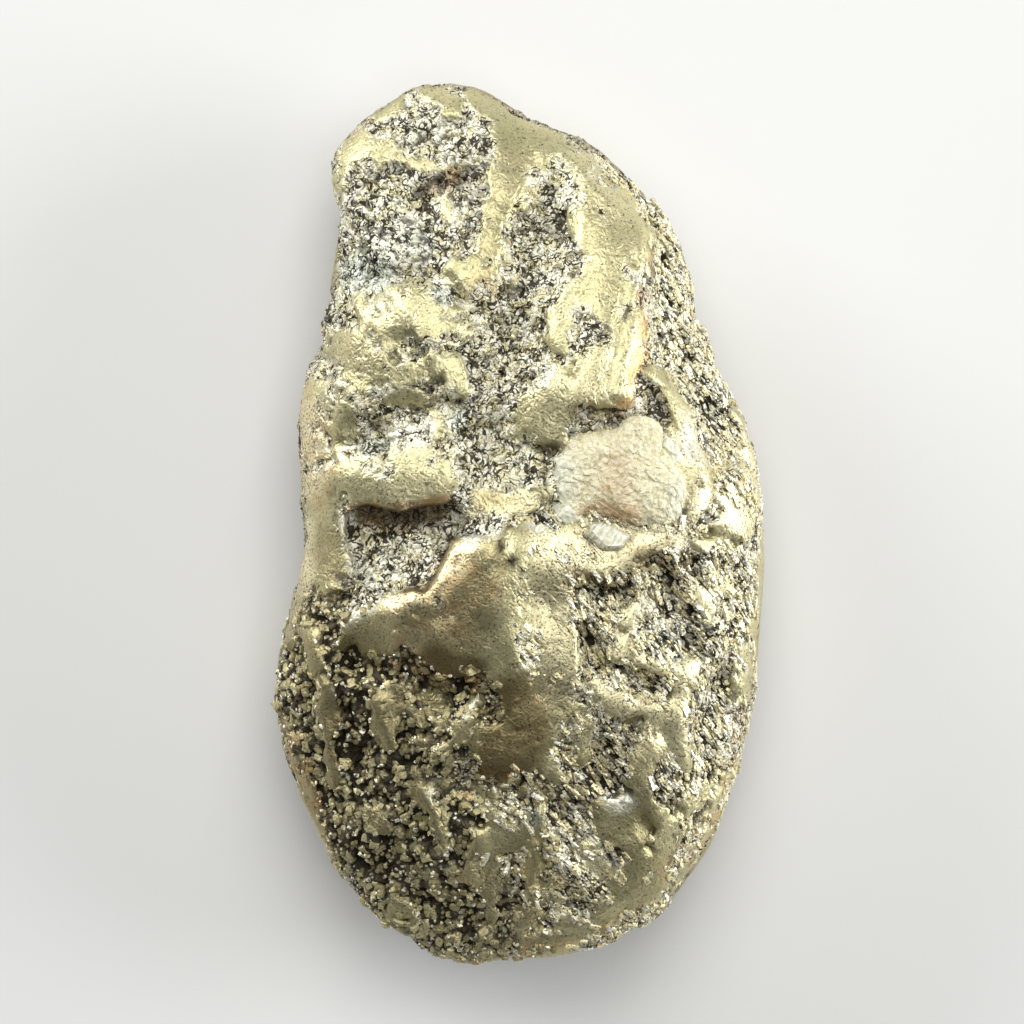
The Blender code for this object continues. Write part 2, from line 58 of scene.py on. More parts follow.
# Ridges, bosses and hollows of the face: points along the crest or floor, half width, height
STROKES = [
    ([(4.4, 18.4), (4.6, 14.6), (4.2, 11.0), (3.2, 8.0)], 3.4, 0.75),
    ([(2.8, 21.8), (4.7, 19.3), (6.6, 17.3), (6.7, 14.8), (6.3, 11.2), (5.6, 7.4)], 0.9, 0.35),
    ([(2.6, 7.4), (1.4, 6.2)], 1.8, 0.25),
    ([(-0.9, 22.5), (-1.2, 18.5), (-1.9, 15.7), (-4.2, 13.6)], 1.7, 0.3),
    ([(-9.6, 20.6), (-6.4, 23.6), (-3.0, 23.9)], 1.8, 0.4),
    ([(-5.4, 20.2), (-5.6, 17.0)], 3.2, -0.55),
    ([(-11.0, 12.8), (-8.0, 13.8), (-5.0, 14.0), (-2.3, 11.9)], 0.8, -0.35),
    ([(1.8, 19.0), (1.6, 17.0), (0.0, 12.2), (-1.0, 8.8), (-1.7, 4.6)], 2.2, -0.8),
    ([(-9.0, 11.0), (-5.4, 11.2)], 3.0, 0.75),
    ([(-9.8, 7.6), (-4.6, 8.8)], 2.6, 0.5),
    ([(-9.2, 5.5), (-6.4, 6.5), (-4.0, 6.5)], 1.2, -0.5),
    ([(-7.1, 10.5), (-5.9, 9.7)], 0.9, -0.35),
    ([(-11.4, 3.0), (-7.7, 2.7), (-4.2, 3.2)], 2.1, 0.45),
    ([(-7.6, -4.8), (-5.1, -3.9), (-3.0, -1.5), (-1.2, -1.1)], 1.2, 0.35),
    ([(-5.4, -4.9), (-3.8, -3.2), (-2.4, -2.7)], 4.3, 1.35),
    ([(-4.1, -6.6), (-3.4, -7.0)], 2.3, 0.3),
    ([(-1.0, -5.4), (-0.6, -7.4)], 3.0, 0.5),
    ([(-4.9, -9.4), (-1.8, -9.5)], 1.2, -0.6),
    ([(0.2, -7.0), (-0.2, -10.0), (-0.8, -12.6)], 2.5, 0.6),
    ([(-2.2, -15.2), (1.0, -15.4)], 1.2, -0.5),
    ([(-0.8, -1.6), (2.3, -2.3), (5.4, -2.4), (7.6, -1.4), (9.5, 0.9), (9.7, 2.8)], 2.4, 0.4),
    ([(10.2, 2.8), (9.0, 5.3), (7.6, 7.6), (7.0, 8.8)], 0.6, 0.3),
    ([(2.4, -2.6), (2.7, -8.4)], 1.6, 0.3),
    ([(5.2, 3.4), (5.6, 2.6)], 3.5, -0.6),
    ([(8.3, 5.2), (7.2, 7.6)], 0.8, -0.2),
    ([(4.0, -4.0), (5.4, -4.5)], 1.1, -0.7),
    ([(7.6, -3.1), (8.4, -4.6)], 1.2, -0.7),
    ([(3.9, -5.4), (4.2, -7.8)], 1.0, -0.55),
    ([(8.6, -6.2), (9.6, -6.8)], 1.0, -0.5),
    ([(6.0, -8.8), (7.2, -9.2)], 0.8, -0.45),
    ([(4.6, -12.4), (4.6, -14.2)], 1.2, -0.6),
    ([(11.6, -9.0), (10.4, -12.8)], 1.2, -0.6),
    ([(11.4, -1.0), (11.9, -5.4)], 1.0, -0.45),
    ([(5.9, -5.0), (5.7, -7.0), (7.6, -8.0)], 1.4, 0.25),
    ([(9.1, -8.8), (9.0, -10.4), (6.6, -10.6), (4.4, -9.8)], 1.4, 0.3),
    ([(8.8, -11.4), (9.2, -13.0)], 1.2, 0.35),
    ([(6.8, -12.2), (6.7, -14.6)], 1.1, 0.35),
    ([(6.8, -16.4), (7.0, -16.8)], 0.8, -0.35),
    ([(8.2, -15.4), (6.2, -19.6)], 2.0, 0.5),
    ([(-9.6, -7.4), (-8.2, -8.0)], 1.4, -0.8),
    ([(-5.6, -9.2), (-4.6, -10.0)], 1.0, -0.6),
    ([(-9.4, -12.4), (-8.8, -14.2)], 1.2, -0.6),
    ([(-11.8, -6.2), (-11.0, -8.8)], 1.6, 0.45),
    ([(-11.4, -10.4), (-11.0, -11.8)], 0.9, 0.35),
    ([(-7.8, -10.0), (-7.4, -12.4)], 0.9, 0.45),
    ([(-2.4, -9.4), (-4.7, -13.2)], 0.8, 0.5),
    ([(-5.2, -15.0), (-4.9, -18.2)], 0.9, 0.4),
    ([(-2.6, -17.6), (-2.7, -21.4)], 1.0, 0.4),
    ([(0.9, -15.2), (0.9, -21.4)], 0.6, 0.3),
    ([(2.0, -18.4), (5.0, -21.6)], 1.0, 0.35),
]

RECESS = [
    (-9.7, 0.8), (-8.4, 1.3), (-6.6, 1.2), (-4.0, 1.7), (-3.0, 0.4), (-3.7, -0.6), (-4.8, -2.6),
    (-5.7, -3.5), (-7.1, -3.6), (-8.3, -3.7), (-9.1, -2.8), (-9.6, -0.8),
]
RECESS_DEPTH = 1.65
RECESS_WALL = 0.4  # width of its wall in plan
RECESS_FLOOR_RISE = 0.16  # how much deeper its floor is for each mm along y
SIDE_LEDGE = [
    (1.4, 23.6), (3.2, 22.2), (5.4, 20.5), (7.6, 18.2), (8.0, 15.8), (7.6, 13.0), (7.7, 10.6),
    (7.9, 8.6), (9.6, 6.4), (11.0, 3.4), (15.0, 3.0), (15.0, 15.0), (9.0, 24.0),
]
SIDE_LEDGE_DEPTH = 1.5
SIDE_LEDGE_WALL = 1.0  # width of its wall in plan

WANDER = [(3.4, 0.55), (1.5, 0.22)]  # to-and-fro of the drawn features: wavelength and distance
SWELL = (7.5, 0.30)  # wavelength and height of the nugget's broad unevenness
LUMPS = (2.3, 0.75)  # wavelength and depth of the raw metal's hollows
BACK_ZONES = (6.0, 0.25)  # wavelength of the back's raw zones, and how far they outweigh the worn ones
BACK_PATINA = (7.0, 0.55)  # wavelength and strength of the back's brown and copper tints

LUMP_OUTLINE = [
    (2.4, 4.9), (4.4, 5.3), (5.4, 5.6), (6.1, 6.1), (7.1, 6.1), (7.8, 5.3), (7.9, 4.4), (8.6, 3.7),
    (9.3, 2.8), (9.4, 1.8), (9.0, 0.7), (8.2, -0.1), (6.7, -0.2), (6.0, 0.2), (5.2, 0.6),
    (4.2, 0.8), (3.5, 0.7), (2.8, 0.1), (2.2, 0.5), (1.7, 1.5), (1.4, 2.9), (1.6, 3.9),
]
LUMP_CENTRE = (5.4, 2.7)
LUMP_ABOVE = 0.55  # its top and its bottom, above and below the bare face in its middle
LUMP_BELOW = 2.6
LUMP_SINK = 1.0  # depth of its widest outline below the bare face
LUMP_PROFILE = (3.0, 2.4)

FLAKE_OUTLINE = [
    (3.5, 0.05), (4.4, 0.2), (5.2, 0.0), (6.1, -0.55), (5.8, -1.1), (5.2, -1.6), (4.5, -1.3), (3.7, -0.6),
]
FLAKE_THICKNESS = 0.9
FLAKE_SINK = 0.45  # depth of its bottom below the bare face in its middle

# ---------------------------------------------------------------- skin: worn lands and raw metal

OPEN_ROUGHNESS = 0.46  # of the face where nothing is drawn

# Raw, crystalline areas of the face and how raw they are: points, radius, value
RAW = [
    # head
    ([(-6.2, 23.9), (-5.4, 23.0)], 0.7, 1.0), ([(-3.2, 23.4), (-2.4, 23.0)], 0.7, 1.0),
    ([(-7.6, 22.4), (-5.4, 21.8), (-3.6, 21.8), (-1.8, 21.4)], 1.1, 1.0),
    ([(-8.6, 19.8), (-6.8, 19.6), (-4.9, 19.3), (-3.2, 19.8), (-2.2, 20.6)], 0.8, 1.0),
    ([(-7.2, 18.2), (-5.0, 17.6), (-2.6, 18.4)], 1.7, 1.0), ([(-9.6, 18.9), (-9.2, 17.4)], 0.8, 0.75),
    ([(-9.4, 16.0), (-7.4, 16.2), (-5.0, 16.2), (-3.0, 17.0)], 1.5, 1.0),
    ([(-9.8, 14.8), (-8.0, 14.4), (-6.0, 14.8), (-4.6, 15.2)], 1.1, 1.0),
    ([(-10.7, 14.0), (-11.0, 12.4)], 0.8, 0.8),
    # trough
    ([(1.6, 19.7), (2.0, 18.6), (2.2, 17.4)], 0.9, 0.8), ([(1.2, 17.0), (2.3, 16.4)], 1.1, 1.0),
    ([(1.6, 15.4), (1.8, 14.4), (0.8, 13.8)], 1.2, 1.0), ([(2.8, 14.9), (3.4, 15.0)], 0.4, 1.0),
    ([(0.3, 13.4), (-0.2, 12.6), (0.0, 11.6), (-0.6, 10.6), (-1.0, 9.4)], 1.5, 1.0),
    ([(-0.8, 9.2), (-1.6, 7.6), (-2.3, 6.2)], 1.3, 1.0), ([(0.4, 8.4), (-0.4, 7.8)], 0.8, 1.0),
    ([(-2.5, 5.0), (-2.2, 3.6), (-2.8, 2.6)], 1.2, 1.0), ([(-1.4, 4.4), (1.0, 3.5)], 0.9, 1.0),
    ([(-3.4, 1.6), (-3.1, 0.5)], 0.8, 1.0), ([(-2.7, -0.3), (-1.4, -0.3)], 0.5, 0.9),
    ([(0.4, -0.2), (1.5, 0.1), (1.7, 0.9)], 0.6, 1.0),
    # right plateau
    ([(3.4, 12.0), (3.9, 11.4), (4.3, 10.7)], 0.6, 0.9), ([(3.2, 11.0), (3.5, 10.0)], 0.5, 0.9),
    ([(5.9, 14.7), (6.4, 14.3), (6.2, 13.8)], 0.5, 0.8), ([(2.0, 9.4), (2.9, 8.8)], 0.35, 0.8),
    ([(3.8, 18.6), (3.9, 18.5)], 0.4, 0.8), ([(4.7, 17.6), (5.0, 17.4)], 0.3, 0.8),
    ([(1.4, 20.7), (2.0, 20.8)], 0.3, 0.8),
    # side ledge and right edge
    ([(0.0, 23.5), (2.0, 22.8), (4.0, 21.4), (5.8, 20.0), (7.4, 18.6), (8.2, 17.0)], 0.9, 1.0),
    ([(8.0, 17.0), (8.4, 15.4), (8.4, 13.4), (8.8, 11.4), (9.8, 9.4), (10.6, 7.4), (11.0, 6.0)], 1.7, 1.0),
    ([(6.6, 8.8), (7.2, 7.4), (7.6, 6.4), (8.4, 5.2)], 0.6, 1.0), ([(10.8, 4.4), (11.0, 3.4)], 0.6, 0.9),
    ([(12.0, 3.9), (12.2, 3.4)], 0.4, 0.9), ([(11.4, 2.6), (12.3, 2.1)], 0.3, 0.9),
    ([(10.6, 0.8), (11.8, 0.9)], 0.6, 0.9), ([(10.5, 0.4), (10.9, -0.6), (10.8, -2.0)], 0.8, 1.0),
    ([(12.6, -1.7), (13.1, -2.0)], 0.6, 1.0),
    # lower right
    ([(3.7, -3.5), (5.6, -3.9)], 0.9, 1.0), ([(7.2, -2.2), (9.8, -2.6)], 0.7, 1.0),
    ([(7.4, -3.6), (9.6, -4.8)], 1.3, 1.0), ([(4.2, -5.2), (5.0, -6.4), (4.4, -8.2)], 1.2, 1.0),
    ([(7.4, -5.8), (9.6, -6.6)], 1.2, 1.0), ([(11.4, -3.4), (11.8, -5.4), (11.6, -7.4)], 1.6, 1.0),
    ([(6.0, -8.2), (7.9, -9.2)], 0.8, 1.0), ([(10.8, -9.4), (11.8, -10.4)], 1.1, 1.0),
    ([(3.4, -9.6), (4.2, -10.6)], 0.6, 1.0), ([(5.6, -11.2), (6.6, -11.0)], 0.4, 1.0),
    ([(4.8, -12.2), (5.4, -13.4), (4.8, -14.6), (3.8, -14.4)], 0.9, 1.0),
    ([(10.0, -11.8), (10.6, -13.0), (9.8, -14.0)], 1.2, 1.0), ([(7.4, -14.0), (8.6, -15.4)], 0.7, 1.0),
    ([(10.2, -16.0), (10.5, -17.0)], 0.5, 0.9), ([(8.2, -19.2), (9.8, -17.8)], 0.6, 0.9),
    ([(7.1, -16.8), (7.3, -17.8)], 0.4, 0.8), ([(3.2, -14.8), (3.0, -16.0)], 1.0, 1.0),
    ([(1.6, -12.5), (2.2, -12.7)], 0.35, 0.9), ([(2.2, -13.6), (1.6, -14.6)], 0.4, 0.9),
    # stem
    ([(0.1, -6.7), (1.0, -7.1)], 0.4, 0.7), ([(-0.2, -8.3), (0.7, -8.3)], 0.35, 0.8),
    ([(-1.7, -9.2), (-1.5, -10.8)], 0.5, 0.9),
    # lower left
    ([(-12.8, -6.8), (-13.2, -8.6), (-13.1, -10.4)], 0.8, 1.0),
    ([(-9.9, -3.6), (-10.8, -4.6), (-11.4, -5.4)], 1.0, 1.0),
    ([(-10.6, -6.9), (-9.2, -7.6), (-9.0, -9.0)], 1.1, 1.0),
    ([(-7.2, -8.6), (-5.6, -8.8), (-3.4, -9.2)], 0.9, 1.0),
    ([(-9.4, -10.4), (-9.4, -12.0), (-8.6, -13.6)], 1.3, 1.0),
    ([(-6.2, -10.2), (-5.6, -12.0), (-6.6, -13.2)], 1.3, 1.0), ([(-3.4, -13.2), (-3.0, -14.6)], 0.7, 1.0),
    ([(-12.4, -12.2), (-11.8, -14.6), (-10.2, -16.6)], 0.8, 1.0),
    ([(-9.6, -15.2), (-7.6, -15.0)], 1.2, 1.0), ([(-0.6, -14.8), (0.8, -15.2)], 0.6, 1.0),
    # foot
    ([(-9.6, -17.6), (-7.4, -19.6), (-5.6, -22.6)], 1.6, 0.95), ([(-6.6, -16.6), (-6.2, -18.6)], 1.0, 1.0),
    ([(-3.4, -16.0), (-2.8, -17.0)], 0.8, 1.0), ([(-3.6, -19.4), (-3.4, -21.6), (-2.8, -23.6)], 1.0, 0.9),
    ([(-0.4, -20.0), (-0.2, -21.4), (-1.0, -23.2)], 0.8, 1.0), ([(1.6, -16.6), (2.6, -18.0)], 1.0, 0.95),
    ([(2.6, -19.2), (3.4, -20.2)], 0.9, 0.8), ([(4.6, -20.6), (5.0, -21.4)], 0.5, 0.8),
    ([(4.9, -18.0), (5.2, -18.8)], 0.4, 0.8),
]

# Worn, smooth lands of the face: points, radius, how raw they still are
LANDS = [
    # head
    ([(-5.0, 24.6), (-4.0, 24.0), (-4.1, 23.4)], 0.7, 0.0), ([(-2.2, 24.2), (-1.0, 23.2)], 0.9, 0.0),
    ([(-8.0, 23.3), (-6.9, 24.2)], 0.5, 0.0), ([(-9.6, 21.6), (-8.4, 21.2), (-7.7, 20.9)], 0.9, 0.1),
    ([(-10.3, 20.8), (-10.1, 19.4)], 0.6, 0.1), ([(-6.6, 20.5), (-5.2, 20.6)], 0.45, 0.15),
    ([(-0.8, 22.6), (-0.6, 20.6), (-0.9, 19.0), (-1.3, 17.6), (-1.6, 16.0), (-2.2, 14.6),
      (-3.6, 14.0)], 0.9, 0.0),
    ([(0.4, 22.6), (2.2, 21.8)], 0.7, 0.0), ([(0.2, 21.4), (0.8, 21.0)], 0.9, 0.05),
    ([(-4.2, 18.3), (-4.0, 17.2)], 0.4, 0.2), ([(-8.6, 13.2), (-6.2, 13.4)], 0.5, 0.3),
    # right plateau
    ([(2.8, 21.4), (4.4, 19.6), (5.6, 18.2), (6.5, 16.6), (6.7, 15.4)], 1.0, 0.0),
    ([(3.6, 17.2), (4.4, 15.8), (4.7, 14.2)], 1.1, 0.0),
    ([(5.8, 12.8), (6.0, 11.0), (5.6, 9.0), (5.0, 7.2)], 1.1, 0.0),
    ([(3.2, 13.2), (4.6, 13.0), (4.9, 12.0)], 0.7, 0.0), ([(2.4, 12.0), (1.8, 10.4)], 0.7, 0.0),
    ([(3.4, 8.2), (2.2, 7.2), (1.2, 6.0)], 1.4, 0.0), ([(4.6, 9.4), (4.4, 7.6)], 1.0, 0.0),
    ([(0.4, 5.6), (-0.2, 5.2)], 0.6, 0.2),
    # side ledge and right edge
    ([(2.0, 22.1), (3.4, 21.2), (4.8, 19.8), (6.2, 18.5)], 0.35, 0.15),
    ([(7.3, 8.9), (8.2, 7.2), (8.8, 6.2), (9.4, 5.0), (10.0, 3.6), (10.4, 2.4), (10.2, 1.2)], 0.45, 0.0),
    ([(11.6, 4.4), (12.6, 3.0), (12.8, 1.6)], 0.8, 0.25), ([(11.6, 1.6), (12.8, 0.4)], 0.5, 0.2),
    ([(12.5, -0.3), (12.1, -1.0)], 0.6, 0.0),
    ([(12.4, 6.6), (13.3, 4.4), (13.9, 1.0), (13.9, -2.0), (13.5, -5.0), (13.3, -8.8)], 0.35, 0.0),
    # band and recess rim
    ([(0.4, -0.9), (2.2, -1.4), (4.0, -2.2), (6.0, -1.9), (7.6, -1.0), (9.2, 0.2), (9.8, 1.8),
      (9.9, 3.6)], 0.8, 0.0),
    ([(1.2, -1.2), (3.4, -1.6), (6.0, -1.4), (8.6, 0.2), (9.6, 1.8), (9.6, 3.8), (8.9, 5.4)], 0.8, 0.1),
    ([(1.2, -2.6), (2.2, -3.4)], 1.1, 0.05), ([(1.6, -4.6), (2.5, -5.4)], 0.9, 0.2),
    ([(2.7, -6.4), (2.8, -8.0), (2.4, -9.8)], 0.7, 0.0),
    ([(-2.4, 1.6), (-1.2, 0.9), (0.2, 1.3), (1.0, 2.0)], 0.7, 0.1),
    # cheek and lip
    ([(-8.6, 12.0), (-5.8, 12.3)], 0.8, 0.15), ([(-9.6, 10.4), (-8.4, 9.2), (-8.8, 8.4)], 0.9, 0.05),
    ([(-8.2, 11.1), (-5.4, 11.6), (-3.6, 11.6)], 0.8, 0.1), ([(-6.6, 8.5), (-4.8, 8.7)], 0.7, 0.0),
    ([(-3.6, 8.8), (-3.2, 7.2)], 0.5, 0.05), ([(-4.2, 11.0), (-3.0, 10.8)], 0.5, 0.1),
    ([(-9.7, 6.9), (-9.9, 5.8)], 0.6, 0.0), ([(-7.4, 7.1), (-6.0, 7.0)], 0.4, 0.0),
    ([(-4.8, 6.0), (-4.7, 5.3)], 0.35, 0.0), ([(-12.0, 7.4), (-12.4, 5.0), (-12.5, 3.0)], 0.7, 0.1),
    ([(-11.8, 4.2), (-11.3, 3.2)], 0.7, 0.3), ([(-9.8, 2.6), (-7.0, 2.6), (-4.8, 2.9)], 1.3, 0.0),
    ([(-5.6, 4.2), (-5.2, 3.2)], 0.7, 0.1), ([(-8.6, 3.3), (-7.8, 3.4)], 0.5, 0.3),
    # slope beside the recess, and the nose
    ([(-11.6, 1.4), (-11.2, -0.8), (-11.1, -2.8)], 1.1, 0.0),
    ([(-12.2, -0.6), (-12.5, -3.0), (-13.1, -5.0), (-13.6, -6.8)], 0.6, 0.0),
    ([(-9.4, -5.6), (-7.6, -5.0)], 0.7, 0.1), ([(-9.0, -6.3), (-7.9, -7.0)], 0.8, 0.0),
    ([(-7.0, -4.3), (-5.6, -4.1), (-4.7, -3.2), (-4.0, -1.9), (-3.2, -1.1), (-1.6, -1.2)], 0.6, 0.0),
    ([(-6.6, -4.9), (-4.2, -4.2), (-2.4, -2.8), (-0.8, -2.0)], 1.4, 0.0),
    ([(-4.4, -6.4), (-2.8, -6.2), (-1.0, -4.8)], 1.6, 0.0), ([(-4.4, -7.2), (-3.6, -7.6)], 0.9, 0.0),
    ([(0.2, -4.0), (0.4, -5.4)], 1.0, 0.05), ([(-1.4, -1.2), (0.6, -0.9)], 0.5, 0.0),
    # stem
    ([(-0.6, -6.4), (-1.2, -7.8)], 0.8, 0.0),
    ([(0.0, -9.0), (0.4, -10.4), (0.2, -12.0), (-0.8, -13.2)], 1.3, 0.0),
    ([(1.6, -9.6), (2.4, -11.0)], 0.9, 0.05), ([(-1.9, -12.4), (-1.5, -13.6)], 0.5, 0.0),
    # lower right
    ([(6.5, -4.9), (6.0, -5.6), (5.6, -7.2)], 0.65, 0.05),
    ([(10.0, -3.5), (10.4, -4.6), (10.3, -5.6)], 0.5, 0.05), ([(6.9, -7.8), (8.0, -8.1)], 0.6, 0.0),
    ([(9.3, -8.2), (9.0, -9.6), (8.8, -10.8)], 0.95, 0.05),
    ([(4.1, -9.2), (4.3, -9.9), (6.0, -10.7), (7.6, -10.7)], 0.6, 0.05),
    ([(1.4, -3.0), (1.8, -6.0), (2.0, -8.6), (1.6, -10.6)], 0.8, 0.1),
    ([(8.6, -12.2), (9.2, -13.2)], 0.8, 0.05), ([(7.4, -11.6), (6.9, -13.0), (6.6, -14.8)], 0.8, 0.05),
    ([(12.2, -7.2), (12.6, -8.6), (12.7, -9.8)], 0.6, 0.1), ([(11.0, -2.6), (11.8, -3.9)], 0.45, 0.1),
    ([(10.4, -1.4), (11.6, -0.4), (12.4, 0.4)], 0.5, 0.1), ([(3.4, -11.8), (3.7, -13.0)], 0.6, 0.0),
    ([(1.5, -13.4), (1.9, -14.2)], 0.5, 0.0),
    ([(7.0, -15.4), (8.2, -16.4), (9.4, -16.0), (10.3, -14.9)], 0.6, 0.05),
    ([(5.4, -16.0), (6.5, -17.4), (7.2, -18.8), (6.4, -20.2)], 1.1, 0.0),
    ([(8.7, -17.2), (8.1, -18.2)], 0.7, 0.0), ([(11.4, -14.0), (10.4, -17.4), (8.4, -20.8)], 0.35, 0.2),
    # lower left
    ([(-11.9, -5.8), (-11.6, -7.2)], 0.6, 0.0), ([(-11.3, -8.0), (-11.0, -9.6), (-11.2, -11.6)], 0.6, 0.0),
    ([(-11.0, -9.4), (-10.6, -10.6)], 0.7, 0.0), ([(-10.9, -12.8), (-10.8, -14.2)], 0.5, 0.0),
    ([(-7.4, -9.8), (-7.3, -10.6), (-7.6, -11.6)], 0.75, 0.0),
    ([(-2.5, -9.7), (-3.4, -11.0), (-4.5, -12.9)], 0.4, 0.0), ([(-5.6, -13.7), (-5.4, -14.0)], 0.4, 0.0),
    ([(-8.2, -16.0), (-7.8, -16.6)], 0.5, 0.0),
    ([(-13.7, -11.4), (-13.3, -13.0), (-12.4, -15.0), (-11.3, -17.2)], 0.3, 0.1),
    # foot
    ([(-5.3, -15.0), (-5.0, -16.4), (-4.8, -17.8)], 0.5, 0.0),
    ([(-2.4, -17.4), (-2.7, -18.6), (-2.8, -19.6)], 0.5, 0.0), ([(-0.4, -16.6), (-0.4, -17.6)], 0.4, 0.1),
    ([(0.9, -14.9), (1.0, -18.0), (0.9, -21.2)], 0.35, 0.1),
    ([(-1.5, -19.0), (-1.4, -20.6), (-1.6, -22.0)], 0.45, 0.1),
    ([(0.5, -22.7), (2.4, -22.8), (4.8, -22.4)], 0.9, 0.1), ([(3.8, -18.4), (4.5, -19.4)], 0.5, 0.15),
    ([(5.5, -20.2), (5.9, -21.4)], 0.7, 0.05), ([(-5.5, -19.2), (-5.0, -20.0)], 0.5, 0.3),
    ([(-6.6, -21.4), (-7.2, -22.2)], 0.45, 0.3), ([(-3.8, -23.6), (-3.6, -24.2)], 0.4, 0.2),
]

